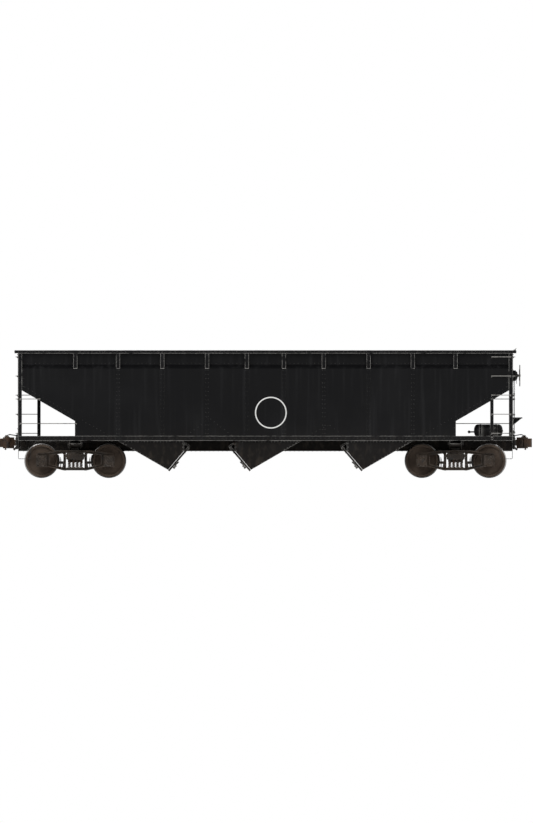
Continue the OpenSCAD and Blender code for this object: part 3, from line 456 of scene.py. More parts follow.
JOINTS_X = (3.05, 3.95, 4.85, 5.75)             # where one slope sheet laps the next
LAP = 0.0005
MIDDLE_JOINT = (4.0, 6.15)
slope_rows = [[(x, y, slope_at(x) + LAP) for y in (0.30, 1.34)] for x in JOINTS_X]
slope_rows.append([(x, 0.72, slope_at(x)) for x in MIDDLE_JOINT])
slope_tilt = (-sin(SLOPE), 0.0, cos(SLOPE))
floor_rows, floor_heads = [], []
for across in every_way:
    floor_rows += mirrored(slope_rows, across)
    floor_heads += mirrored([[slope_tilt]], across)[0] * len(slope_rows)
riveter.make("floor_rivets", floor_rows, "car_body", "load_sheet", floor_heads,
             Pitch=0.13, Head=0.011, Material=load_sheet)


# ---- Seam straps ----
# Lap straps of 5 mm plate cover the upright joints between the side sheets, and are painted
# with them. Like every fitting from here on, they are closed shapes cut from plate and bar.

MIRROR_Y = Matrix.Scale(-1, 4, (0, 1, 0))
STRAP_WIDE, STRAP_THICK = 0.12, 0.005


def at(x, y, z):
    return Matrix.Translation((x, y, z))


class Piece:
    """A piece in the making: closed shapes are added to one mesh, in metres."""

    def __init__(self):
        self.mesh = bmesh.new()

    def block(self, low, high, chamfer=0.003):
        """A bar or casting with square sides, its edges chamfered."""
        low, high = Vector(low), Vector(high)
        made = bmesh.ops.create_cube(self.mesh, size=1.0)["verts"]
        for corner in made:
            corner.co = (low + high) / 2 + Vector(a * abs(b) for a, b in zip(corner.co, high - low))
        edges = list({edge for corner in made for edge in corner.link_edges})
        bmesh.ops.bevel(self.mesh, geom=edges, offset=min(chamfer, 0.4 * min(abs(b) for b in high - low)),
                        segments=1, affect="EDGES")

    def box(self, middle, size, chamfer=0.003):
        """A block given by its middle and its size."""
        middle, half = Vector(middle), Vector(size) / 2
        self.block(middle - half, middle + half, chamfer)

    def plate(self, outline, thickness, place, chamfer=0.0, holes=()):
        """A plate cut to an outline in its own XY plane, thickness along Z, then set in its place."""
        edges = []
        for line in (outline, *holes):
            corners = [self.mesh.verts.new((x, y, 0.0)) for x, y in line]
            edges += [self.mesh.edges.new((a, b)) for a, b in zip(corners, corners[1:] + corners[:1])]
        face = bmesh.ops.triangle_fill(self.mesh, use_beauty=True, use_dissolve=True, edges=edges)["geom"]
        faces = [item for item in face if isinstance(item, bmesh.types.BMFace)]
        top = bmesh.ops.extrude_face_region(self.mesh, geom=faces)["geom"]
        lifted = [item for item in top if isinstance(item, bmesh.types.BMVert)]
        bmesh.ops.translate(self.mesh, verts=lifted, vec=(0.0, 0.0, thickness))
        corners = list({vert for edge in edges for vert in edge.verts}) + lifted
        if chamfer and not holes:
            rims = [edge for vert in corners for edge in vert.link_edges if edge.calc_face_angle(0) > 1.2
                    and abs(edge.verts[0].co.z - edge.verts[1].co.z) < 1e-7]
            cut = bmesh.ops.bevel(self.mesh, geom=list(set(rims)), offset=chamfer, segments=1,
                                  affect="EDGES")
            corners = list({*(v for v in corners if v.is_valid), *cut["verts"]})
        bmesh.ops.transform(self.mesh, matrix=place, verts=corners)

    def turned(self, outline, place, sides):
        """A turned or rolled shape: outline gives (radius, height) pairs, round the Z axis of its place."""
        round_once = [(cos(2 * pi * i / sides), sin(2 * pi * i / sides)) for i in range(sides)]
        rings = [[self.mesh.verts.new((radius * x, radius * y, height)) for x, y in round_once[:count]]
                 for radius, height in outline for count in [sides if radius > 1e-6 else 1]]
        for ring, above in zip(rings, rings[1:] + rings[:1]):
            for i in range(sides):
                corners = [ring[i % len(ring)], ring[(i + 1) % len(ring)],
                           above[(i + 1) % len(above)], above[i % len(above)]]
                whole = [c for n, c in enumerate(corners) if c not in corners[:n]]
                if len(whole) > 2:
                    self.mesh.faces.new(whole)
        bmesh.ops.transform(self.mesh, matrix=place, verts=[vert for ring in rings for vert in ring])

    def rod(self, start, end, radius, sides):
        """A straight round bar with chamfered ends."""
        way = Vector(end) - Vector(start)
        small, length = 0.15 * radius, way.length
        self.turned([(0, 0), (radius - small, 0), (radius, small), (radius, length - small),
                     (radius - small, length), (0, length)],
                    at(*start) @ way.to_track_quat("Z", "Y").to_matrix().to_4x4(), sides)

    def bolts(self, spots, way, across, height):
        """A hexagon head on its washer at each spot, pointing one way."""
        turn = Vector(way).to_track_quat("Z", "Y").to_matrix().to_4x4()
        for spot in spots:
            self.turned([(0, -0.001), (across * 0.72, -0.001), (across * 0.72, 0.004), (0, 0.004)],
                        at(*spot) @ turn, 12)
            self.turned([(0, 0.002), (across / 2, 0.002), (across / 2, height - 0.003),
                         (across * 0.40, height), (0, height)], at(*spot) @ turn, 6)

    def moved(self, matrix):
        bmesh.ops.transform(self.mesh, matrix=matrix, verts=self.mesh.verts)

    def copied(self, matrix):
        """Repeats all that is there so far, moved or mirrored by a matrix."""
        whole = list(self.mesh.verts) + list(self.mesh.edges) + list(self.mesh.faces)
        again = bmesh.ops.duplicate(self.mesh, geom=whole)["geom"]
        bmesh.ops.transform(self.mesh, matrix=matrix,
                            verts=[item for item in again if isinstance(item, bmesh.types.BMVert)])

    def set(self, name, body, material, slot, replaced=()):
        bmesh.ops.recalc_face_normals(self.mesh, faces=self.mesh.faces)
        done = bpy.data.meshes.new(name)
        self.mesh.to_mesh(done)
        self.mesh.free()
        done.materials.append(material)
        return set_piece(name, done, body, replaced)


straps = Piece()
for x in STAKES_X[::2]:
    for middle in (-x, x):
        straps.block((middle - STRAP_WIDE / 2, SHEET_Y, SILL_TOP),
                     (middle + STRAP_WIDE / 2, SHEET_Y + STRAP_THICK, BEND_LOW), 0.002)
straps.copied(MIRROR_Y)
straps.set("side_straps", "car_body", black_paint("strap_paint", 0.004, dust=0.12, wear=0.12, ring=True),
           "side_black")


# ---- Ladders and hand holds ----
# Rungs and hand holds are round bars, forged flat at both ends and bent back to bolt on to the sides, posts
# and ladder stiles. Hands and boots have rubbed the paint off them in patches.

bender = Recipe("bent_bars", Radius="float", Bend="float", Sides="int", Material="material")
line = bender.node("GeometryNodeMeshToCurve", {}, {"Mesh": bender.input()})
bent = bender.node("GeometryNodeFilletCurve", {"mode": "POLY"},
                   {"Curve": line, "Count": 5, "Radius": bender.input("Bend"), "Limit Radius": True})
section = bender.node("GeometryNodeCurvePrimitiveCircle", {},
                      {"Resolution": bender.input("Sides"), "Radius": bender.input("Radius")})
bender.ends_in(bender.node("GeometryNodeCurveToMesh", {},
                           {"Curve": bent, "Profile Curve": section, "Fill Caps": True}))


def worn_bar_paint():
    """Black paint rubbed down to dark steel wherever a hand or a boot lands."""
    paint = Finish("hand_hold_paint", Specular_IOR_Level=0.4)
    rub = paint.noise(7.0, detail=6.0).ramp(0.34, 0.50)
    grain = paint.noise(70.0, detail=4.0)
    colour = paint.mix(grain, (0.19, 0.18, 0.17), (0.33, 0.32, 0.30))
    colour = paint.mix(rub, (0.05, 0.05, 0.05), colour)
    return paint.vary(Base_Color=colour, Roughness=0.62 - rub * 0.18,
                      Normal=paint.relief(grain, 0.0006, 0.4))


hand_hold_paint = worn_bar_paint()
fitting_paint = black_paint("fitting_paint", 0.006, dust=0.35)


def bent_bars(name, paths, radius, bend, material=fitting_paint, sides=12):
    """Round bars bent along paths, all fixed to the body."""
    bender.make(name, paths, "car_body", "fitting_black", Radius=radius, Bend=bend, Sides=sides,
                Material=material)


HALF_TURN = Matrix.Rotation(pi, 4, "Z")
BOLT = (0.026, 0.016)                           # a hexagon head's width and height
X, Y = 0, 1                                     # a bar stands off an end, or off a side
BAR, BAR_BEND = 0.010, 0.022                    # a rung's radius, and the radius of its bends
BAR_OUT = {X: POST_X + 0.060, Y: SHEET_Y + 0.060}
BAR_SUNK = 0.004                                # how far a bar runs into its flat
LUG_WIDE, LUG_LONG, LUG_THICK = 0.030, 0.050, 0.012
RUNGS_Z = [1.1454 + 0.490 * i for i in range(5)]
CORNER_X, CORNER_Y = POST_X - 0.050, SHEET_Y - 0.070        # the bars' ends nearest the corner
STILE_X, STILE_WIDE = 5.8085, 0.087
STILE_THICK = 0.010
STILE_TOP = RUNGS_Z[0] + 0.913
STUB_FACE = SHEET_Y - 0.115                     # the side above its step
GRAB_Z, TIE_Z = 2.0254, 1.3964
POST_FACE = POST_X - 0.010                      # face of an end post


def facing_y(x, y, z=0.0):
    """A place whose own X runs along the wagon, Y up and Z to the right-hand side, which is -Y."""
    return at(x, y, z) @ Matrix.Rotation(pi / 2, 4, "X")


def facing_x(x, y=0.0, z=0.0):
    """A place whose own X runs across the wagon, Y up and Z along it."""
    return at(x, y, z) @ Matrix(((0, 0, 1, 0), (1, 0, 0, 0), (0, 1, 0, 0), (0, 0, 0, 1)))


def grid(xs, ys, zs):
    """Every point with one of these coordinates each way."""
    return [(x, y, z) for x in xs for y in ys for z in zs]


def hold(lugs, way, first, last, z, first_face, last_face):
    """A bar standing off an end or a side, between two places on it. Adds its flats and their
    bolts to lugs, and gives its path."""
    path = []
    for place, face in ((first, first_face), (last, last_face)):
        outward = Vector((1 - way, way, 0))
        foot = Vector((place, place, z))
        foot[way] = face
        size = Vector((LUG_WIDE, LUG_WIDE, LUG_LONG))
        size[way] = LUG_THICK
        lugs.box(foot + outward * (LUG_THICK / 2) - Vector((0, 0, 0.007)), size, 0.004)
        lugs.bolts([foot + outward * LUG_THICK - Vector((0, 0, 0.018))], outward, 0.022, 0.012)
        out = foot.copy()
        out[way] = BAR_OUT[way]
        path.append([foot + outward * BAR_SUNK, out])
    return path[0] + path[1][::-1]


# The ladder corner, built at +X and +Y and then moved to the right-hand side
ladders, rungs = Piece(), []
for z in RUNGS_Z:
    face = SILL_Y + STILE_THICK if z < STILE_TOP else (STUB_FACE if z > BEND_LOW + 0.10 else SHEET_Y)
    rungs += [hold(ladders, Y, 5.806, CORNER_X, z, face, SHEET_Y),
              hold(ladders, X, 0.980, CORNER_Y, z, POST_X + STILE_THICK, POST_X)]
half = STILE_WIDE / 2
ladders.plate([(-half, SILL_LOW), (half, SILL_LOW), (half, STILE_TOP - 0.030), (0.025, STILE_TOP),
               (-0.025, STILE_TOP), (-half, STILE_TOP - 0.030)],
              STILE_THICK, facing_y(STILE_X, SILL_Y + STILE_THICK), 0.003)
ladders.block((STILE_X - 0.03, SHEET_Y - 0.002, STILE_TOP - 0.06),
              (STILE_X + 0.03, SILL_Y + 0.002, STILE_TOP - 0.005))
ladders.bolts(grid([STILE_X], [SILL_Y + STILE_THICK], (SILL_LOW + 0.03, SILL_LOW + 0.09, STILE_TOP - 0.035)),
              (0, 1, 0), *BOLT)
ladders.plate([(0.95, SILL_LOW + 0.02), (1.01, SILL_LOW + 0.02), (1.01, CHORD_TOP - 0.012),
               (0.95, CHORD_TOP - 0.012)], STILE_THICK, facing_x(POST_X), 0.003)
ladders.bolts(grid([POST_X + STILE_THICK], [0.966], (SILL_LOW + 0.05, 1.26, 2.10, CHORD_LOW - 0.03)),
              (1, 0, 0), *BOLT)
ladders.moved(MIRROR_Y)
ladders.copied(HALF_TURN)
# One low hold leans over the top corner of the hand brake end
FOOT_X, HOLD_X = CHORD_X - 0.040, CHORD_X - 0.004
HOLD_Z = CHORD_TOP + 0.045
HOLD_Y = (-SHEET_Y + 0.083, -SHEET_Y + 0.477)
for y in HOLD_Y:
    ladders.block((FOOT_X - 0.028, y - 0.020, CHORD_TOP), (FOOT_X + 0.028, y + 0.020, CHORD_TOP + 0.011))
    ladders.bolts([(FOOT_X - 0.016, y, CHORD_TOP + 0.011)], (0, 0, 1), 0.018, 0.010)
ladders.set("ladder_stiles", "car_body", fitting_paint, "fitting_black", ["ladders"])
rungs = mirrored(rungs, (1, -1, 1)) + mirrored(rungs, (-1, 1, 1))
rungs.append([(FOOT_X, HOLD_Y[0], CHORD_TOP + 0.005), (HOLD_X, HOLD_Y[0], HOLD_Z),
              (HOLD_X, HOLD_Y[1], HOLD_Z), (FOOT_X, HOLD_Y[1], CHORD_TOP + 0.005)])
bent_bars("ladder_rungs", rungs, BAR, BAR_BEND, hand_hold_paint)

# Hand holds at the other two corners, and a long tie bar from the cut-out's edge to the post
grab_lugs = Piece()
grabs = [hold(grab_lugs, Y, POST_X - 0.555, CORNER_X, GRAB_Z, SHEET_Y, SHEET_Y),
         hold(grab_lugs, Y, 4.846, CORNER_X, TIE_Z, SHEET_Y, SHEET_Y),
         hold(grab_lugs, X, 0.540, CORNER_Y, RUNGS_Z[0], POST_X, POST_X),
         hold(grab_lugs, X, 0.540, CORNER_Y, GRAB_Z, POST_FACE, POST_X)]
grab_lugs.copied(HALF_TURN)
grab_lugs.set("hand_hold_lugs", "car_body", fitting_paint, "fitting_black", ["grab_irons"])
bent_bars("hand_holds", grabs + mirrored(grabs, (-1, -1, 1)), BAR, BAR_BEND, hand_hold_paint)


# ---- Sill steps ----
# Each corner has a stirrup of 50 by 12 mm flat bar, bent hot to shape, bolted up under the sill,
# with a second tread across it.

MIRROR_X = Matrix.Scale(-1, 4, (1, 0, 0))
STEP_Y, STEP_WIDE = SHEET_Y - 0.005, 0.050      # outer edge of the bar, and its width
STEP_BAR, STEP_BEND = 0.012, 0.035              # thickness, and radius of its bends
STEP_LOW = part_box("sill_steps")[0].z
STEP_IN = POST_X - 0.325                        # inner leg of the stirrup
TREAD_LOW, TREAD_TOP = SILL_LOW - 0.247, SILL_LOW - 0.236


def strip(points, thickness):
    """Outline of a flat bar bent along points, thickness to its left, with rounded bends."""
    line = [Vector(p) for p in points]
    bent = [line[0]]
    for before, here, after in zip(line, line[1:], line[2:]):
        towards, away = (before - here).normalized(), (after - here).normalized()
        half = towards.angle(away) / 2
        reach = min(STEP_BEND / tan(half), 0.45 * (before - here).length, 0.45 * (after - here).length)
        first, last = here + towards * reach, here + away * reach
        bent += [first.lerp(here, t).lerp(here.lerp(last, t), t) for t in (0, 0.25, 0.5, 0.75, 1)]
    bent.append(line[-1])
    ways = [(b - a).normalized() for a, b in zip(bent, bent[1:])]
    sides = []
    for i, spot in enumerate(bent):
        before, after = ways[max(i - 1, 0)], ways[min(i, len(ways) - 1)]
        normal = Vector((-before.y - after.y, before.x + after.x)).normalized()
        sides.append(spot + normal * thickness / max(0.5, normal.dot(Vector((-after.y, after.x)))))
    return [tuple(p) for p in bent] + [tuple(p) for p in reversed(sides)]


steps = Piece()
steps.plate(strip([(POST_X - 0.455, SILL_LOW - 0.001), (STEP_IN, SILL_LOW - 0.225), (STEP_IN, STEP_LOW),
                   (POST_X, STEP_LOW), (POST_X, SILL_LOW - 0.001)], STEP_BAR),
            STEP_WIDE, facing_y(0, STEP_Y), 0.002)
steps.plate([(STEP_IN + 0.004, TREAD_LOW), (POST_X - 0.008, TREAD_LOW), (POST_X - 0.008, TREAD_TOP),
             (STEP_IN + 0.004, TREAD_TOP)], STEP_WIDE, facing_y(0, STEP_Y), 0.002)
steps.bolts(grid([POST_X - STEP_BAR], [STEP_Y - STEP_WIDE / 2], (SILL_LOW - 0.04, SILL_LOW - 0.242)),
            (-1, 0, 0), 0.026, 0.014)
for inwards in (0.28, 0.20, 0.12, 0.05):        # raised bars that a boot grips on the lower tread
    steps.box((POST_X - inwards, STEP_Y - STEP_WIDE / 2, STEP_LOW + STEP_BAR + 0.001),
              (0.024, STEP_WIDE - 0.008, 0.004), 0.001)
steps.copied(MIRROR_X)
steps.copied(MIRROR_Y)
steps.set("step_stirrups", "car_body", black_paint("step_paint", 0.003, dust=0.2, wear=0.35),
          "fitting_black", ["sill_steps"])


# ---- Hand brake ----
# A geared winder in a cast housing is bolted to the end post. Its dished wheel has five spokes,
# and it pulls a chain and a long rod that run down to a bell crank on the end sill.

Z_TO_X = Matrix.Rotation(pi / 2, 4, "Y")        # lays a turned piece along the wagon
SMALL_BOLT, LARGE_BOLT = (0.020, 0.012), (0.030, 0.018)
brake_low, brake_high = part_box("hand_brake")
BRAKE_Y = (brake_low.y + brake_high.y) / 2
BRAKE_Z = (brake_low.z + brake_high.z) / 2
WHEEL_R = (brake_high.y - brake_low.y) / 2
WHEEL_X = POST_FACE + 0.195
RIM = 0.014
SPOKES = 5
BACK_PLATE, CASE_TOP = 0.018, 0.119             # how far the winder's parts stand off the post
ROD_X, ROD_Y = POST_FACE + 0.05, BRAKE_Y + 0.118
CHAIN_TOP, CHAIN_LOW, ROD_LOW = BRAKE_Z - 0.13, BRAKE_Z - 0.46, 1.235
CRANK_Y, CRANK_Z = ROD_Y - 0.09, ROD_LOW - 0.06


def ring_points(radius, centre, count):
    return [(centre[0] + radius * cos(2 * pi * i / count), centre[1] + radius * sin(2 * pi * i / count))
            for i in range(count)]


def rounded_outline(width, height, radius, steps=4):
    """A rectangle round the origin with round corners, anticlockwise."""
    points = []
    for turn, (sx, sy) in enumerate(((1, 1), (-1, 1), (-1, -1), (1, -1))):
        middle = (sx * (width / 2 - radius), sy * (height / 2 - radius))
        points += [(middle[0] + radius * cos((turn + i / steps) * pi / 2),
                    middle[1] + radius * sin((turn + i / steps) * pi / 2)) for i in range(steps + 1)]
    return points


winder = Piece()
winder.plate(rounded_outline(0.28, 0.32, 0.030), BACK_PLATE, facing_x(POST_FACE, BRAKE_Y, BRAKE_Z), 0.003)
winder.plate(rounded_outline(0.23, 0.27, 0.060), 0.085,
             facing_x(POST_FACE + BACK_PLATE - 0.002, BRAKE_Y, BRAKE_Z), 0.012)
winder.turned([(0, 0.09), (0.105, 0.09), (0.105, 0.118), (0.088, 0.130), (0.045, 0.136), (0.045, 0.150),
               (0.026, 0.152), (0.026, 0.172), (0, 0.172)], at(POST_FACE, BRAKE_Y, BRAKE_Z) @ Z_TO_X, 32)
winder.bolts([(POST_FACE + CASE_TOP, y, z) for y, z in ring_points(0.094, (BRAKE_Y, BRAKE_Z), 6)],
             (1, 0, 0), 0.014, 0.008)
winder.bolts(grid([POST_FACE + BACK_PLATE], (BRAKE_Y - 0.122, BRAKE_Y + 0.122),
                  (BRAKE_Z - 0.140, BRAKE_Z + 0.140)), (1, 0, 0), 0.024, 0.014)
# The release handle
winder.plate([(-0.012, 0.0), (0.012, 0.0), (0.016, 0.11), (0.0, 0.125), (-0.016, 0.11)], 0.012,
             facing_x(POST_FACE + 0.104, BRAKE_Y - 0.10, BRAKE_Z - 0.10)
             @ Matrix.Rotation(radians(150), 4, "Z"), 0.002)
winder.set("brake_winder", "car_body", fitting_paint, "fitting_black", ["hand_brake"])

hub = Vector((WHEEL_X, BRAKE_Y, BRAKE_Z))
hand_wheel = Piece()
hand_wheel.turned(ring_points(RIM, (WHEEL_R - RIM, 0.0), 10), at(*hub) @ Z_TO_X, 56)
hand_wheel.turned([(0, -0.030), (0.040, -0.030), (0.045, -0.022), (0.045, 0.008), (0.030, 0.020), (0, 0.020)],
                  at(*hub) @ Z_TO_X, 24)
hand_wheel.bolts([hub + Vector((0.006, 0, 0))], (1, 0, 0), *LARGE_BOLT)
hand_wheel.set("brake_wheel", "car_body", hand_hold_paint, "fitting_black")
dished = ((0.035, -0.012), (0.12, -0.016), (0.19, -0.004), (WHEEL_R - RIM, 0.0))    # radius, and depth
spokes = [[hub + Vector((depth, radius * y, radius * z)) for radius, depth in dished]
          for z, y in ring_points(1.0, (0.0, 0.0), SPOKES)]
bent_bars("brake_wheel_spokes", spokes, 0.0085, 0.05, hand_hold_paint, sides=10)

# Chain, made of links turned a quarter from one to the next, then the rod and its guides
linker = Recipe("chain", Radius="float", Pitch="float", Half_Width="float", Stretch="float",
                Material="material")
chain_line = linker.node("GeometryNodeMeshToCurve", {}, {"Mesh": linker.input()})
chain_spots = linker.node("GeometryNodeResampleCurve", {"mode": "LENGTH"},
                          {"Curve": chain_line, "Length": linker.input("Pitch") * 0.5})
loop = linker.node("GeometryNodeCurvePrimitiveCircle", {},
                   {"Resolution": 16, "Radius": linker.input("Half_Width")})
stretched = linker.node("ShaderNodeCombineXYZ", {}, {"X": 1.0, "Y": 1.0, "Z": linker.input("Stretch")})
oval = linker.node("GeometryNodeTransform", {},
                   {"Geometry": loop, "Rotation": (pi / 2, 0.0, 0.0), "Scale": stretched})
wire = linker.node("GeometryNodeCurvePrimitiveCircle", {},
                   {"Resolution": 8, "Radius": linker.input("Radius")})
link = linker.node("GeometryNodeCurveToMesh", {}, {"Curve": oval, "Profile Curve": wire})
number = linker.node("GeometryNodeInputIndex")
quarter = linker.node("ShaderNodeCombineXYZ", {}, {"Z": number * (pi / 2)})
linker.ends_in(linker.node("GeometryNodeInstanceOnPoints", {},
                           {"Points": chain_spots, "Instance": link, "Rotation": quarter}))
linker.make("brake_chain", [[(ROD_X, ROD_Y, CHAIN_TOP), (ROD_X, ROD_Y, CHAIN_LOW)]], "car_body",
            "fitting_black", Radius=0.005, Pitch=0.046, Half_Width=0.017, Stretch=1.75,
            Material=fitting_paint)
bent_bars("brake_rod", [[(ROD_X, ROD_Y, CHAIN_LOW + 0.01), (ROD_X, ROD_Y, ROD_LOW)]], 0.011, 0.0)

crank = Piece()
for z in (2.02, 1.62):
    crank.box((POST_FACE + 0.036, ROD_Y, z), (0.072, 0.044, 0.040), 0.006)
crank.plate([(-0.02, -0.02), (0.135, -0.055), (0.145, -0.030), (0.03, 0.045), (0.012, 0.165), (-0.015, 0.165),
             (-0.03, 0.03)], 0.020, facing_x(POST_FACE + 0.040, CRANK_Y, CRANK_Z), 0.004)
crank.box((POST_X + 0.015, CRANK_Y, CRANK_Z - 0.025), (0.030, 0.050, 0.150), 0.005)
crank.bolts([(POST_FACE + 0.060, CRANK_Y, CRANK_Z)], (1, 0, 0), 0.040, 0.018)
crank.set("bell_crank", "car_body", fitting_paint, "fitting_black")


# ---- Brake step ----
# The brakeman stands on an open steel board that two gusset brackets carry off the end.

step_low, step_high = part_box("brake_step")
BOARD_LOW, BOARD_HIGH = Vector((POST_X + 0.010, step_low.y)), step_high.xy
BOARD_THICK = 0.008
EDGE_STRIP = 0.006                              # thickness of the strips round the board
SLOT_WIDE, SLOT_LONG, SLOT_CORNER = 0.030, 0.055, 0.013
SLOTS_ALONG, SLOTS_ACROSS = 9, 3
board_deep, board_long = BOARD_HIGH - BOARD_LOW
board_top = step_high.z

slots = []
for i in range(SLOTS_ALONG):
    for k in range(SLOTS_ACROSS):
        across = (i - (SLOTS_ALONG - 1) / 2) * board_long / (SLOTS_ALONG + 0.6)
        along = (k - (SLOTS_ACROSS - 1) / 2) * board_deep / (SLOTS_ACROSS + 0.2)
        slots.append([(across + x, along + y)
                      for x, y in rounded_outline(SLOT_WIDE, SLOT_LONG, SLOT_CORNER, 3)])
board = Piece()
board_x, board_y = (BOARD_LOW + BOARD_HIGH) / 2
board.plate([(sx * board_long / 2, sy * board_deep / 2) for sx, sy in ((-1, -1), (1, -1), (1, 1), (-1, 1))],
            BOARD_THICK, at(board_x, board_y, board_top - BOARD_THICK) @ Matrix.Rotation(pi / 2, 4, "Z"),
            holes=slots)
for side in (-1, 1):
    board.box((board_x, board_y + side * (board_long - EDGE_STRIP) / 2, board_top - 0.0185),
              (board_deep, EDGE_STRIP, 0.023), 0.001)
    board.box((board_x + side * (board_deep - EDGE_STRIP) / 2, board_y, board_top - 0.018),
              (EDGE_STRIP, board_long - 0.010, 0.022), 0.001)
for back, y in ((POST_FACE, BRAKE_Y), (POST_X + 0.010, -0.980)):
    reach = BOARD_HIGH.x - 0.030
    board.plate([(back, board_top - 0.205), (reach, board_top - 0.034), (reach, board_top - 0.012),
                 (back, board_top - 0.012)], 0.010, facing_y(0.0, y + 0.005), 0.002)
    board.block((back, y - 0.030, board_top - 0.205), (back + 0.008, y + 0.030, board_top - 0.030), 0.002)
    board.bolts(grid([back + 0.008], (y - 0.018, y + 0.018), (board_top - 0.18, board_top - 0.08)),
                (1, 0, 0), *SMALL_BOLT)
board.set("brake_board", "car_body", fitting_paint, "fitting_black", ["brake_step"])


# ---- End fittings ----
# Each end has cast poling pockets at its corners, a bolted striker, a coupler carrier, and an
# uncoupling lever: a long bent bar with a handle at the side, held by two forged brackets.

coupler_low, coupler_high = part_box("coupler_b")
COUPLER_Z = (coupler_low.z + coupler_high.z) / 2
STRIKER_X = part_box("end_sill_b")[1].x
LEVER_X, LEVER_Z = POST_X + 0.048, 1.086

end_gear = Piece()
for y in (-1.27, 1.27):
    end_gear.turned([(0, 0), (0.085, 0), (0.085, 0.010), (0.066, 0.016), (0.062, 0.034), (0.048, 0.034),
                     (0.040, 0.018), (0, 0.012)], at(POST_X, y, 1.040) @ Z_TO_X, 28)
end_gear.bolts(grid([STRIKER_X], (-0.155, 0.155), (COUPLER_Z - 0.11, COUPLER_Z, COUPLER_Z + 0.11)),
               (1, 0, 0), *LARGE_BOLT)
end_gear.block((STRIKER_X - 0.050, -0.150, COUPLER_Z - 0.148),
               (STRIKER_X + 0.028, 0.150, COUPLER_Z - 0.110), 0.006)
for y in (-0.40, -1.36):
    end_gear.plate([(0.0, -0.055), (0.008, -0.055), (0.010, -0.030), (0.062, -0.012), (0.066, 0.012),
                    (0.045, 0.028), (0.008, 0.020), (0.0, 0.050)], 0.014,
                   facing_y(POST_X, y + 0.007, LEVER_Z), 0.002)
    end_gear.bolts([(POST_X + 0.007, y, LEVER_Z - 0.045)], (1, 0, 0), 0.020, 0.010)
end_gear.copied(HALF_TURN)
end_gear.set("end_fittings", "car_body", fitting_paint, "fitting_black")
lever = [(6.664, -0.030, COUPLER_Z + 0.170), (6.560, -0.030, LEVER_Z + 0.030), (LEVER_X, -0.170, LEVER_Z),
         (LEVER_X, -1.430, LEVER_Z), (LEVER_X + 0.020, -1.455, LEVER_Z - 0.250)]
bent_bars("uncoupling_levers", [lever] + mirrored([lever], (-1, -1, 1)), 0.0125, 0.045)


# ---- Hoppers and doors ----
# Three pairs of chutes of riveted plate hang under the sills. A pair of pressed doors closes each
# bay. They are joined by a beam under the centre sill, hang on four straps, and are locked at the
# ends of the beam.

hopper_paint = black_paint("hopper_paint", 0.013, dust=0.32)
coat(["door_pair_1", "door_pair_2", "door_pair_3"], hopper_paint)
coat(["hopper_chute_1", "hopper_chute_2", "hopper_chute_3"],
     black_paint("chute_paint", 0.013, dust=0.32, inside="y"))

BAYS = ((-2.5, 1), (-0.369, -1), (2.5, -1))     # where each door's lip is, and the way to its hinge
LIP_Z, DOOR_Z = 0.2184, 0.2004
DOOR_TILT = radians(49.5)
DOOR_LONG, DOOR_DEEP = 0.796, 0.050
HINGE_X, HINGE_Z = 0.450, 0.8804
CHUTE_TOP_Y = 1.500                             # outer face of a chute plate under the sill
CHUTE_LEAN = 0.160 / (SILL_LOW - DOOR_Z)        # how far the plate leans in for each metre down
CHUTE_BACK = (SILL_LOW - LIP_Z) / tan(SLOPE)    # from the lip back to where the slope meets the sill
INNER_STRAP, OUTER_STRAP = 0.412, 1.382         # the door's hinge straps, across the wagon
BEAM_U, BEAM_DEEP = 0.180, DOOR_DEEP + 0.045    # the beam's place up the door, and its depth
LOCK_TOP = -DOOR_DEEP - 0.024                   # middle of the lock's spindle


def in_bay(bay):
    place = at(bay[0], 0.0, 0.0)
    return place if bay[1] > 0 else place @ MIRROR_X


def chute_line(x1, z1, x2, z2):
    """A line on the outer face of a chute plate, x from the lip towards the hinge."""
    return [(x, CHUTE_TOP_Y - CHUTE_LEAN * (SILL_LOW - z), z) for x, z in ((x1, z1), (x2, z2))]


plate_out = Vector((0.0, 1.0, -CHUTE_LEAN)).normalized()
chute_lines = [chute_line(0.10 - CHUTE_BACK, SILL_LOW - 0.026, 0.38, SILL_LOW - 0.026),
               chute_line(0.13 - CHUTE_BACK, SILL_LOW - 0.062, -0.055, LIP_Z + 0.040),
               chute_line(0.382, SILL_LOW - 0.080, 0.382, 0.700)]
chute_rows, chute_heads = [], []
for lip, way in BAYS:
    for side in (1, -1):
        chute_rows += [[(lip + x, y, z) for x, y, z in row] for row in mirrored(chute_lines, (way, side, 1))]
        chute_heads += [(0.0, side * plate_out.y, plate_out.z)] * len(chute_lines)
riveter.make("hopper_rivets", chute_rows, "car_body", "frame_black", chute_heads,
             Pitch=0.082, Head=0.0115, Material=hopper_paint)

# Heads and split pins on the ends of the hinge pins
hinge_ends = Piece()
for lip, way in BAYS:
    for y in (INNER_STRAP, OUTER_STRAP):
        outside, inside = (Vector((lip + way * HINGE_X, y + away, HINGE_Z)) for away in (0.044, -0.044))
        hinge_ends.rod(outside, outside + Vector((0, 0.014, 0)), 0.022, 20)
        hinge_ends.rod(inside, inside - Vector((0, 0.022, 0)), 0.0145, 16)
        hinge_ends.rod(inside - Vector((0, 0.014, 0.026)), inside - Vector((0, 0.014, -0.024)), 0.003, 8)
hinge_ends.copied(MIRROR_Y)
hinge_ends.set("hopper_fittings", "car_body", hopper_paint, "frame_black")

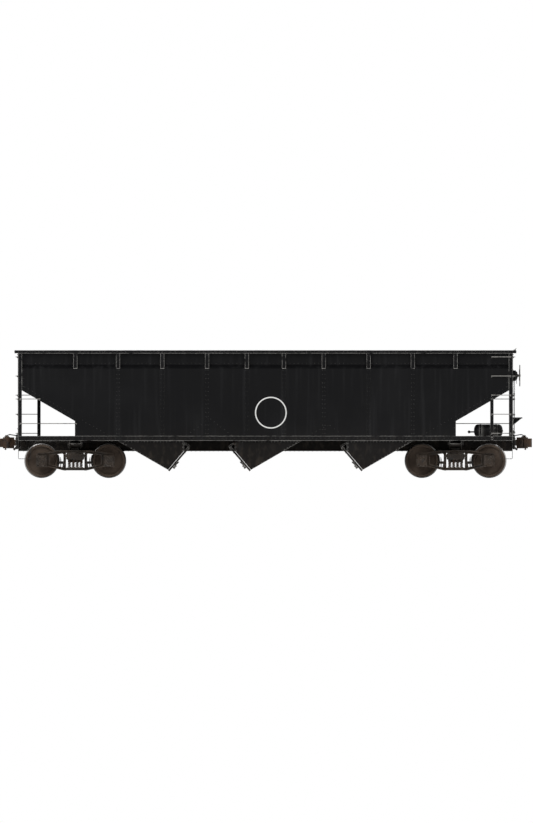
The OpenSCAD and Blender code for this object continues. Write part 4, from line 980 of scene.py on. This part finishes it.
# What is fitted to a door is placed by its height up the door, across the wagon, and into the load
for number, bay in enumerate(BAYS, 1):
    door = Piece()
    for y in (INNER_STRAP, OUTER_STRAP):
        door.bolts(grid((DOOR_LONG - 0.170, DOOR_LONG - 0.100, DOOR_LONG - 0.030), (y - 0.016, y + 0.016),
                        [-DOOR_DEEP]), (0, 0, -1), *SMALL_BOLT)
        for u in (0.060, 0.300, 0.430, 0.560):
            door.block((u - 0.005, y - 0.032, 0.002 - DOOR_DEEP), (u + 0.005, y + 0.032, -0.006), 0.001)
    # Pressed ribs between the straps
    for y in (0.735, 1.060):
        door.plate([(0.03, y - 0.045), (DOOR_LONG - 0.03, y - 0.045), (DOOR_LONG - 0.03, y + 0.045),
                    (0.03, y + 0.045)], 0.030, at(0, 0, -0.036), 0.012)
    # Lock at the end of the beam: a cast case, a turning spindle with its square, and a handle
    door.block((BEAM_U - 0.055, OUTER_STRAP - 0.075, -BEAM_DEEP - 0.004),
               (BEAM_U + 0.055, OUTER_STRAP + 0.020, 0.004 - DOOR_DEEP), 0.010)
    door.rod((BEAM_U, OUTER_STRAP + 0.010, LOCK_TOP), (BEAM_U, OUTER_STRAP + 0.052, LOCK_TOP), 0.022, 20)
    door.box((BEAM_U, OUTER_STRAP + 0.062, LOCK_TOP), (0.024, 0.024, 0.024), 0.002)
    door.plate([(-0.014, 0.0), (0.014, 0.0), (0.020, 0.110), (0.0, 0.135), (-0.020, 0.110)], 0.012,
               facing_y(BEAM_U + 0.040, OUTER_STRAP + 0.020, LOCK_TOP + 0.014)
               @ Matrix.Rotation(radians(-95), 4, "Z"), 0.002)
    door.bolts(grid((BEAM_U - 0.040, BEAM_U + 0.040), (OUTER_STRAP - 0.058, OUTER_STRAP + 0.002),
                    [-BEAM_DEEP - 0.004]), (0, 0, -1), 0.018, 0.010)
    # The beam is bolted to both doors
    door.bolts(grid((BEAM_U - 0.018, BEAM_U + 0.018), (0.330, 0.560), [-BEAM_DEEP]), (0, 0, -1), *SMALL_BOLT)
    door.copied(MIRROR_Y)
    door.moved(in_bay(bay) @ at(0.0, 0.0, DOOR_Z) @ Matrix.Rotation(-DOOR_TILT, 4, "Y"))
    door.set(f"door_fittings_{number}", f"door_pair_{number}", hopper_paint, "frame_black")


# ---- Underframe ----
# The centre sill is a pair of rolled channels with a cover. A built-up bolster crosses it over
# each bogie, riveted together and packed with dried road dirt.

under_paint = black_paint("under_paint", 0.014, dust=0.85, wear=0.6)
coat(["center_sill", "body_bolster_a", "body_bolster_b"], under_paint)

CENTRE_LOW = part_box("center_sill")[0].z
WEB_Y = 0.176                                   # outer face of the centre sill's channels
FLANGE_ROW = 0.213
BOLSTER_WEB = 0.150                             # from the bolster's middle to a web's outer face
WEB_ROW_Z = 0.985
LOWER_EDGE = ((0.250, CENTRE_LOW + 0.013), (0.420, CENTRE_LOW + 0.013), (0.850, SILL_LOW - 0.152),
              (1.492, SILL_LOW - 0.070))        # of the webs: place across, and height
RIBS = ((0.560, 0.79), (0.980, 0.855), (1.300, 0.885))      # place across, and height of the foot

under_rows, under_heads = [], []
for face in (-1, 1):
    x = BOLSTER_X + face * BOLSTER_WEB
    web_lines = [[(x, y, z + 0.045) for y, z in LOWER_EDGE], upright(x, 0.215, 0.790, WEB_ROW_Z),
                 [(x, 0.30, WEB_ROW_Z), (x, 1.45, WEB_ROW_Z)]]
    for across in every_way:
        under_rows += mirrored(web_lines, across)
        under_heads += [(across[0] * face, 0, 0)] * len(web_lines)
for start, end in ((-6.20, -5.10), (-4.66, 4.66), (5.10, 6.20)):
    for y in (-FLANGE_ROW, FLANGE_ROW):
        under_rows.append([(start, y, CENTRE_LOW), (end, y, CENTRE_LOW)])
        under_heads.append((0, 0, -1))
riveter.make("underframe_rivets", under_rows, "car_body", "frame_black", under_heads,
             Pitch=0.115, Head=0.013, Material=under_paint)

underframe = Piece()
# Bolts of the centre plate and of the side bearings
underframe.bolts(grid((BOLSTER_X - 0.115, BOLSTER_X + 0.115), (0.135, 0.215), [CENTRE_LOW - 0.010]),
                 (0, 0, -1), 0.034, 0.020)
underframe.bolts(grid((BOLSTER_X - 0.1196, BOLSTER_X + 0.1196), (0.600, 0.670), [0.786]),
                 (0, 0, -1), 0.022, 0.012)
# Stiffening ribs outside the bolster webs, and gussets where the sills meet the end sill
for face in (-1, 1):
    for y, foot in RIBS:
        underframe.box((BOLSTER_X + face * (BOLSTER_WEB + 0.0225), y, (foot + 1.0) / 2),
                       (0.045, 0.012, 1.0 - foot), 0.002)
underframe.plate([(0.0, 0.0), (0.34, 0.0), (0.0, 0.42)], 0.010, at(6.325, WEB_Y, SILL_LOW + 0.030) @ MIRROR_X,
                 0.002)
underframe.copied(MIRROR_Y)
underframe.copied(MIRROR_X)
underframe.set("underframe_fittings", "car_body", under_paint, "frame_black")


# ---- Brake cylinder and reservoir ----
# Both lie on cross channels over the bogie of the hand brake end. The cylinder has bolted heads
# and a push rod with a lever. The reservoir is welded, with domed ends, and held by two bands.

TRAY_X = (5.517, 5.917)                         # the two cross channels
TRAY_TOP = 1.0394
CYLINDER = (0.135, 0.820, 1.182)                # radius, and place across and up
TANK = (0.165, -0.860, 1.212)


def cradle(piece, radius, y):
    """Two channels from the centre sill to the side sill, each with a saddle."""
    near, far = sorted((WEB_Y, 1.539) if y > 0 else (-WEB_Y, -1.539))
    half, seat_end = 0.80 * radius, 0.80 * radius + 0.05
    channel = [(-0.030, 0.0), (0.030, 0.0), (0.030, 0.070), (0.023, 0.070), (0.023, 0.008),
               (-0.023, 0.008), (-0.023, 0.070), (-0.030, 0.070)]
    hollow = [(0.62, 0.34), (0.30, 0.15), (0.0, 0.09), (-0.30, 0.15), (-0.62, 0.34)]    # radius is 1
    seat = [(-half, 0.0), (half, 0.0), (half, 0.56 * radius), *((u * radius, v * radius) for u, v in hollow),
            (-half, 0.56 * radius)]
    for x in TRAY_X:
        piece.plate(channel, far - near, facing_y(x, far, SILL_LOW + 0.012), 0.0015)
        piece.plate(seat, 0.024, facing_x(x - 0.012, y, TRAY_TOP - 0.002), 0.002)
        piece.block((x - 0.030, y - seat_end, TRAY_TOP - 0.009), (x + 0.030, y + seat_end, TRAY_TOP), 0.002)
    piece.bolts(grid(TRAY_X, (y - half - 0.030, y + half + 0.030), [TRAY_TOP]), (0, 0, 1), 0.024, 0.016)


HEAD_R = 0.160                                  # the cylinder's bolted heads
brake = Piece()
radius, y, z = CYLINDER
cradle(brake, radius, y)
back, front = TRAY_X[0] - 0.060, TRAY_X[1] + 0.060
rod_end = back - 0.235
brake.turned([(0, back - 0.020), (0.050, back - 0.020), (0.060, back - 0.012), (0.100, back),
              (HEAD_R, back + 0.004), (HEAD_R, back + 0.022), (radius - 0.010, back + 0.024),
              (radius - 0.010, front - 0.024), (HEAD_R, front - 0.022), (HEAD_R, front - 0.002),
              (0.115, front + 0.004), (0.080, front + 0.020), (0.030, front + 0.026), (0, front + 0.026)],
             at(0, y, z) @ Z_TO_X, 40)
round_head = [(y + 0.146 * cos(pi * (i + 0.5) / 4), z + 0.146 * sin(pi * (i + 0.5) / 4)) for i in range(8)]
for face, way in ((back + 0.004, -1), (front - 0.002, 1)):
    brake.bolts([(face, *spot) for spot in round_head], (way, 0, 0), *SMALL_BOLT)
brake.rod((back - 0.215, y, z), (back, y, z), 0.018, 20)
brake.box((back - 0.2285, y, z), (0.067, 0.052, 0.052), 0.006)
brake.plate([(-0.44, -0.026), (-0.46, 0.0), (-0.44, 0.026), (0.0, 0.042), (0.26, 0.028), (0.285, 0.0),
             (0.26, -0.028), (0.0, -0.042)], 0.018,
            at(rod_end, y - 0.02, z - 0.009) @ Matrix.Rotation(pi / 2, 4, "Z"), 0.003)
brake.rod((rod_end, y - 0.02, z - 0.040), (rod_end, y - 0.02, z + 0.040), 0.015, 16)
brake.box((rod_end, WEB_Y + 0.053, 1.011), (0.054, 0.114, 0.012))
brake.set("brake_cylinder_gear", "car_body", fitting_paint, "fitting_black", ["brake_cylinder"])

tank = Piece()
radius, y, z = TANK
cradle(tank, radius, y)
back, front = TRAY_X[0] - 0.170, TRAY_X[1] + 0.170
# One end, as radius and distance from its tip: the dome, then the weld round its edge
tank_end = [(0.0, 0.0), (0.060, 0.005), (0.105, 0.018), (0.140, 0.042), (radius - 0.004, 0.078),
            (radius, 0.100), (radius, 0.150), (radius + 0.003, 0.154), (radius + 0.003, 0.160),
            (radius, 0.164)]
tank.turned([(r, back + h) for r, h in tank_end] + [(r, front - h) for r, h in reversed(tank_end)],
            at(0, y, z) @ Z_TO_X, 44)
for x in TRAY_X:
    band = [(radius + rise, x + along) for rise, along in ((-0.002, -0.020), (0.005, -0.020), (0.005, 0.020),
                                                           (-0.002, 0.020))]
    tank.turned(band, at(0, y, z) @ Z_TO_X, 44)
tank.rod((5.717, y, z - radius - 0.020), (5.717, y, z - radius + 0.010), 0.016, 12)
tank.rod((front - 0.030, y, z), (front + 0.008, y, z), 0.026, 12)
tank.box((5.53, y + 0.2 * radius - 0.02, z + 0.97 * radius + 0.002), (0.18, 0.08, 0.004), 0.001)
tank.set("air_tank", "car_body", fitting_paint, "fitting_black", ["air_reservoir"])

# The rigid brake pipe passes through the bolsters and along inside the centre sill, and branches
# to the cylinder and the reservoir
PIPE_Z = 0.930
COCK_X, COCK_Y, COCK_Z = POST_X + 0.045, 0.33, COUPLER_Z - 0.130
half_pipe = [(6.115, COCK_Y, COCK_Z), (5.960, COCK_Y, COCK_Z), (5.880, 0.30, PIPE_Z), (4.060, 0.30, PIPE_Z),
             (3.960, 0.09, PIPE_Z)]
to_cylinder = [(5.600, 0.30, PIPE_Z), (5.600, 0.30, 1.120), (5.640, 0.60, 1.120), (5.640, 0.70, 1.120)]
to_tank = [(5.800, 0.30, PIPE_Z), (5.800, 0.30, 1.075), (5.800, -0.62, 1.075), (5.800, -0.72, 1.150)]
bent_bars("brake_pipes", [half_pipe + mirrored([half_pipe], (-1, -1, 1))[0][::-1], to_cylinder, to_tank],
          0.0165, 0.05, under_paint)

# A cock at each end of the pipe: its socket, body, outlet, spindle, handle, hanger and clamp
cocks = Piece()
place = at(COCK_X, COCK_Y, COCK_Z)
cocks.rod((POST_X - 0.260, COCK_Y, COCK_Z), (POST_X + 0.030, COCK_Y, COCK_Z), 0.0195, 18)
cocks.turned([(0, -0.040), (0.030, -0.040), (0.037, -0.030), (0.037, 0.020), (0.028, 0.034), (0, 0.034)],
             place @ Z_TO_X, 20)
cocks.turned([(0, 0), (0.024, 0), (0.024, 0.060), (0.031, 0.062), (0.031, 0.080), (0.022, 0.083),
              (0.022, 0.092), (0, 0.092)], place @ Matrix.Rotation(radians(120), 4, "Y"), 20)
cocks.turned([(0, 0), (0.020, 0), (0.020, 0.046), (0.013, 0.050), (0.013, 0.062), (0, 0.062)], place, 16)
cocks.box((COCK_X, COCK_Y + 0.0475, COCK_Z + 0.062), (0.018, 0.105, 0.008), 0.002)
cocks.block((POST_X - 0.070, COCK_Y - 0.015, COCK_Z - 0.020),
            (POST_X - 0.060, COCK_Y + 0.015, SILL_LOW + 0.004), 0.002)
cocks.turned([(0.019, -0.012), (0.030, -0.012), (0.030, 0.012), (0.019, 0.012)],
             at(POST_X - 0.055, COCK_Y, COCK_Z) @ Z_TO_X, 16)
cocks.copied(HALF_TURN)
cocks.set("pipe_end_cocks", "car_body", fitting_paint, "fitting_black", ["brake_pipe_ends"])


# ---- Couplers ----
# Coupler bodies and knuckles are rough steel castings, left unpainted. They turn brown, and
# grease and rubbing keep the guard arm and the knuckle's pulling face dark and smooth.

def casting(name, brown, dark, dusty):
    """A rough casting: sandy skin, grease in patches, dust on top, and pale corners that are partly rubbed
    steel and partly a painted highlight.
    """
    cast = Finish(name, Specular_IOR_Level=0.3)
    patch = cast.noise(2.6, detail=7.0).ramp(0.36, 0.66)
    grease = cast.noise(5.5, detail=5.0, shift=(7, 3, 1)).ramp(0.55, 0.66)
    grain = cast.noise(85.0, detail=5.0)
    up = cast.facing(2).ramp(0.35, 0.95)
    colour = cast.mix(patch, brown, dark)
    colour = cast.mix(grease * 0.8, colour, (0.012, 0.010, 0.009))
    colour = cast.mix(up * 0.55, colour, dusty)
    # Pale corners, partly rubbed steel and partly a painted highlight
    worn_and_highlit_edge = cast.edge(0.008) * cast.noise(9.0).ramp(0.40, 0.55)
    colour = cast.mix(worn_and_highlit_edge * 0.8, colour, (0.21, 0.18, 0.155))
    waves = cast.relief(cast.noise(16.0, detail=2.0), 0.004, 0.4)
    return cast.vary(Base_Color=colour, Roughness=0.78 - grease * 0.32,
                     Normal=cast.relief(grain, 0.0015, 0.6, waves))


coupler_cast = casting("coupler_cast", (0.070, 0.040, 0.024), (0.032, 0.024, 0.019), (0.085, 0.066, 0.050))
coat(["coupler_a", "coupler_b", "knuckle_a", "knuckle_b"], coupler_cast)

COUPLER_X = 6.771                               # the pulling face
PIN_X, PIN_Y = COUPLER_X - 0.105, -0.110        # the knuckle pin
PIN_TOP, PIN_LOW = coupler_high.z - 0.002, coupler_low.z - 0.030
SPLIT_PIN_Z = COUPLER_Z - 0.170
LOCK_X = COUPLER_X - 0.160                      # the lock lifter and its eye
pins = Piece()
pins.turned([(0, 0), (0.034, 0), (0.036, 0.004), (0.030, 0.014), (0, 0.016)], at(PIN_X, PIN_Y, PIN_TOP), 24)
pins.rod((PIN_X, PIN_Y, PIN_LOW), (PIN_X, PIN_Y, COUPLER_Z - 0.140), 0.016, 18)
pins.rod((PIN_X - 0.030, PIN_Y, SPLIT_PIN_Z), (PIN_X + 0.030, PIN_Y, SPLIT_PIN_Z), 0.004, 8)
pins.turned([(0, 0), (0.055, 0), (0.055, 0.010), (0.038, 0.018), (0.034, 0.034), (0, 0.036)],
            at(LOCK_X, -0.010, COUPLER_Z + 0.140), 24)
pins.plate(ring_points(0.022, (0.0, 0.020), 18), 0.012, facing_y(LOCK_X + 0.045, -0.026, COUPLER_Z + 0.160),
           holes=[ring_points(0.011, (0.0, 0.020), 12)])
for y in (-0.052, 0.052):                       # ribs along the shank
    pins.box((COUPLER_X - 0.410, y, COUPLER_Z + 0.078), (0.220, 0.020, 0.012), 0.004)
pins.box((COUPLER_X - 0.295, 0.0, COUPLER_Z), (0.020, 0.170, 0.196), 0.008)
pins.copied(HALF_TURN)
pins.set("coupler_pins", "car_body", coupler_cast, "coupler_cast")


# ---- Bogies ----
# Each bogie has two cast side frames and a cast bolster riding on coil springs. Sand-cast steel
# is rough, and is caked with brown brake dust. Lids, bolts and shoes are fitted separately.

truck_cast = casting("truck_cast", (0.052, 0.036, 0.025), (0.030, 0.024, 0.020), (0.110, 0.086, 0.064))
coat([part + end for end in "ab" for part in ("truck_frames_", "truck_bolster_", "brake_beams_")], truck_cast)

FRAME_Y = 0.978                                 # middle of a side frame
FRAME_FACE = FRAME_Y + 0.070
LID_FACE = FRAME_FACE + 0.062                   # front of a journal box, where its lid shuts
AXLE_X, AXLE_Z = 0.8635, 0.4444
COLUMN_X = 0.262                                # the posts at the ends of the spring nest
BEAM_Z = AXLE_Z - 0.050                         # the brake beams, and how far out their parts are
SHOE_X, STRUT_X, SHOE_Y = 0.372, 0.296, 0.762
SEAT_Z, SPRING_TOP = 0.262, 0.480
SEAT_THICK = 0.008
COILS_X = (-0.150, -0.050, 0.050, 0.150)
OUT_OF_FRAME = Matrix(((-1, 0, 0, 0), (0, 0, 1, 0), (0, 1, 0, 0), (0, 0, 0, 1)))   # Y up and Z to +Y


def add_journal_box(made, x):
    """A hinged lid with its boss, hinge pin and knuckles, two box bolts each side, and a lug below."""
    made.plate([(-0.092, -0.100), (0.092, -0.100), (0.092, 0.060), (0.060, 0.096), (-0.060, 0.096),
                (-0.092, 0.060)], 0.012, at(x, LID_FACE, AXLE_Z - 0.006) @ OUT_OF_FRAME, 0.004)
    made.turned([(0, 0), (0.062, 0), (0.056, 0.010), (0.020, 0.017), (0, 0.018)],
                at(x, LID_FACE + 0.012, AXLE_Z - 0.012) @ Matrix.Rotation(-pi / 2, 4, "X"), 28)
    hinge_y, hinge_z = LID_FACE + 0.004, AXLE_Z + 0.104
    made.rod((x - 0.075, hinge_y, hinge_z), (x + 0.075, hinge_y, hinge_z), 0.016, 16)
    for dx in (-0.038, 0.038):
        made.box((x + dx, LID_FACE + 0.008, hinge_z), (0.024, 0.028, 0.036), 0.005)
    made.bolts(grid((x - 0.118, x + 0.118), [FRAME_Y], [0.295]), (0, 0, -1), 0.036, 0.024)
    made.bolts(grid((x - 0.118, x + 0.118), [FRAME_Y + 0.012], [0.594]), (0, 0, 1), 0.036, 0.024)
    made.box((x, LID_FACE + 0.006, AXLE_Z - 0.134), (0.120, 0.020, 0.032), 0.006)


def bogie_bolts():
    """Journal box fittings, bolts of the column wear plates, and the bolster's ears."""
    made = Piece()
    for way in (-1, 1):
        add_journal_box(made, way * AXLE_X)
        made.bolts(grid([way * COLUMN_X], [FRAME_FACE], (0.340, 0.545, 0.600)), (0, 1, 0), *BOLT)
        made.box((way * 0.150, FRAME_Y + 0.077, 0.549), (0.060, 0.030, 0.138), 0.008)
    made.copied(MIRROR_Y)
    return made


def brake_rigging():
    """Shoe heads with their keys, truss rods along the beams, the levers, and the rod between them."""
    made = Piece()
    for way in (-1, 1):
        for side in (-1, 1):
            made.box((way * SHOE_X, side * SHOE_Y, BEAM_Z - 0.0025), (0.024, 0.064, 0.215), 0.006)
            made.box((way * (SHOE_X + 0.006), side * SHOE_Y, BEAM_Z + 0.0025), (0.012, 0.020, 0.285), 0.002)
            made.rod((way * 0.322, side * 0.700, BEAM_Z), (way * COLUMN_X, side * 0.060, BEAM_Z), 0.013, 14)
        made.box((way * STRUT_X, 0.0, BEAM_Z), (0.080, 0.124, 0.064), 0.008)
        made.plate([(-0.018, -0.260), (0.018, -0.260), (0.026, -0.060), (0.024, 0.150), (-0.024, 0.150),
                    (-0.026, -0.060)], 0.020, at(way * 0.274, 0.010, BEAM_Z + 0.060)
                   @ Matrix.Rotation(way * radians(-12), 4, "Y") @ Matrix.Rotation(pi / 2, 4, "X"), 0.003)
        made.box((way * COLUMN_X, 0.0, BEAM_Z - 0.180), (0.064, 0.052, 0.048), 0.006)
    made.rod((-COLUMN_X, 0.0, BEAM_Z - 0.180), (COLUMN_X, 0.0, BEAM_Z - 0.180), 0.016, 16)
    return made


def spring_seats():
    """A plate under the coils and one over them, each with a raised ring round every coil's end."""
    made = Piece()
    for plate_z, ring_z in ((SEAT_Z, SEAT_Z + SEAT_THICK),
                            (SPRING_TOP - SEAT_THICK, SPRING_TOP - 2 * SEAT_THICK)):
        made.box((0.0, FRAME_Y, plate_z + SEAT_THICK / 2), (0.440, 0.124, SEAT_THICK), 0.002)
        for x in COILS_X:
            ring = ((0.024, 0.0), (0.047, 0.0), (0.047, SEAT_THICK), (0.024, SEAT_THICK))
            made.turned(ring, at(x, FRAME_Y, ring_z), 24)
    made.copied(MIRROR_Y)
    return made


spring_steel = Finish("spring_steel", Specular_IOR_Level=0.4)
rust = spring_steel.noise(14.0, detail=6.0).ramp(0.38, 0.60)
spring_steel.vary(Base_Color=spring_steel.mix(rust, (0.075, 0.066, 0.058), (0.062, 0.034, 0.019)),
                  Roughness=0.55 + rust * 0.3)

# A coil is a round bar wound up from each given point
coiler = Recipe("coil_springs", Radius="float", Wire="float", Turns="float", Height="float",
                Material="material")
helix = coiler.node("GeometryNodeCurveSpiral", {}, {
    "Resolution": 20, "Rotations": coiler.input("Turns"), "Height": coiler.input("Height"),
    "Start Radius": coiler.input("Radius"), "End Radius": coiler.input("Radius")})
wire = coiler.node("GeometryNodeCurvePrimitiveCircle", {},
                   {"Resolution": 10, "Radius": coiler.input("Wire")})
wound = coiler.node("GeometryNodeCurveToMesh", {},
                    {"Curve": helix, "Profile Curve": wire, "Fill Caps": True})
coiler.ends_in(coiler.node("GeometryNodeInstanceOnPoints", {},
                           {"Points": coiler.input(), "Instance": wound}))

COIL_LOW = SEAT_Z + SEAT_THICK + 0.010          # middle of the bar where a coil starts
COIL_HIGH = SPRING_TOP - 2 * SEAT_THICK - 0.002
COILS = (("outer_springs_", 0.0355, 0.0105, 5.0), ("inner_springs_", 0.0165, 0.0060, 8.0))

PIVOTS = {"a": -BOLSTER_X, "b": BOLSTER_X}


def fit_to_bogie(end, name, made, replaced=()):
    """Fixes a piece that was built about the pivot to the bogie at one end."""
    made.moved(at(PIVOTS[end], 0.0, 0.0))
    made.set(name + end, "bogie_" + end, truck_cast, "truck_cast", replaced)


for end, pivot in PIVOTS.items():
    fit_to_bogie(end, "bogie_bolts_", bogie_bolts())
    fit_to_bogie(end, "brake_rigging_", brake_rigging())
    feet = [[(pivot + x, y, COIL_LOW)] for x in COILS_X for y in (-FRAME_Y, FRAME_Y)]
    for name, radius, bar, turns in COILS:
        coiler.make(name + end, feet, "bogie_" + end, "spring_steel", Radius=radius, Wire=bar, Turns=turns,
                    Height=COIL_HIGH - COIL_LOW, Material=spring_steel.material)
    fit_to_bogie(end, "spring_seats_", spring_seats(), ["truck_springs_" + end])


# ---- Wheelsets ----
# Wheels are wrought steel, pressed on to a forged axle. Rolling keeps the tread and the inside
# of the flange bright. Plate, hub and axle are brown with brake dust.

TREAD_R, FLANGE_R = 0.407, 0.421                # faces further out than this are tread, or flange
WHEEL_IN, FLANGE_OUT, WHEEL_OUT = 0.640, 0.7165, 0.822      # places across the wagon
BAND_Y, BAND_FROM, BAND_TO = 0.752, 0.052, 0.030            # the bright band's middle and edges
HUB_FROM, HUB_TO = 0.170, 0.105                 # grease starts at the first radius, full at the second
TOOL_MARKS = 260                                # waves in the turned face for each metre out


def wheel_finish():
    steel = Finish("wheel_steel", Specular_IOR_Level=0.5)
    x, y, z = (steel.along(axis) for axis in range(3))
    from_axle = abs(abs(abs(x) - BOLSTER_X) - AXLE_X)
    up = z - AXLE_Z
    radius = (from_axle * from_axle + up * up).root()
    across = abs(y)
    wheel = across > WHEEL_IN
    tread = (radius > TREAD_R) * wheel * (across < WHEEL_OUT)
    band = tread * abs(across - BAND_Y).ramp(BAND_FROM, BAND_TO)
    flange = (radius > FLANGE_R) * wheel * (across < FLANGE_OUT)
    turned = (radius * TOOL_MARKS).wave() * 0.5 + 0.5
    dust = steel.noise(3.0, detail=6.0).ramp(0.35, 0.65)
    grease = radius.ramp(HUB_FROM, HUB_TO) * (steel.noise(6.0, detail=6.0).ramp(0.35, 0.60) * 0.7 + 0.3)
    colour = steel.mix(dust, (0.050, 0.032, 0.021), (0.088, 0.062, 0.044))
    colour = steel.mix(grease, colour, (0.016, 0.013, 0.011))
    colour = steel.mix(tread * 0.7, colour, (0.090, 0.070, 0.055))
    bright = band.highest(flange)
    colour = steel.mix(bright * 0.92, colour, (0.42, 0.41, 0.40))
    rough = 0.80 - grease * 0.30 - bright * 0.46 + turned * 0.03
    return steel.vary(Base_Color=colour, Roughness=rough, Metallic=bright * 0.9,
                      Normal=steel.relief(steel.noise(60.0, detail=4.0), 0.001, 0.5))


coat(["wheelset_a1", "wheelset_a2", "wheelset_b1", "wheelset_b2"], wheel_finish())


# ---- Room ----
# The floor lies under the wheels. Behind the wagon the room is plain white.

floor_mesh = bpy.data.meshes.new("floor")
floor_mesh.from_pydata([(x * FLOOR_REACH, y * FLOOR_REACH, cad_low.z)
                        for x, y in ((-1, -1), (1, -1), (1, 1), (-1, 1))], [], [(0, 1, 2, 3)])
floor = bpy.data.objects.new("floor", floor_mesh)
bpy.context.scene.collection.objects.link(floor)
floor_paint = Finish("floor_paint", Roughness=0.9, Specular_IOR_Level=0.1)
floor_mesh.materials.append(floor_paint.material)
cloudy = floor_paint.noise(0.6).ramp(0.3, 0.7)
floor_paint.vary(Base_Color=floor_paint.mix(cloudy, FLOOR_COLOUR, [c * 0.985 for c in FLOOR_COLOUR]))

room = bpy.data.worlds.new("room")
bpy.context.scene.world = room
room.use_nodes = True
sky = NodeTree(room.node_tree)
light = room.node_tree.nodes["Background"]
light.inputs["Color"].default_value = BACKDROP_COLOUR
rays = [sky.node("ShaderNodeLightPath", output=ray) for ray in
        ("Is Camera Ray", "Is Glossy Ray", "Is Transmission Ray")]
seen = rays[0].highest(rays[1]).highest(rays[2])
room.node_tree.links.new((seen * (1 - ROOM_LIGHT) + ROOM_LIGHT).socket, light.inputs["Strength"])
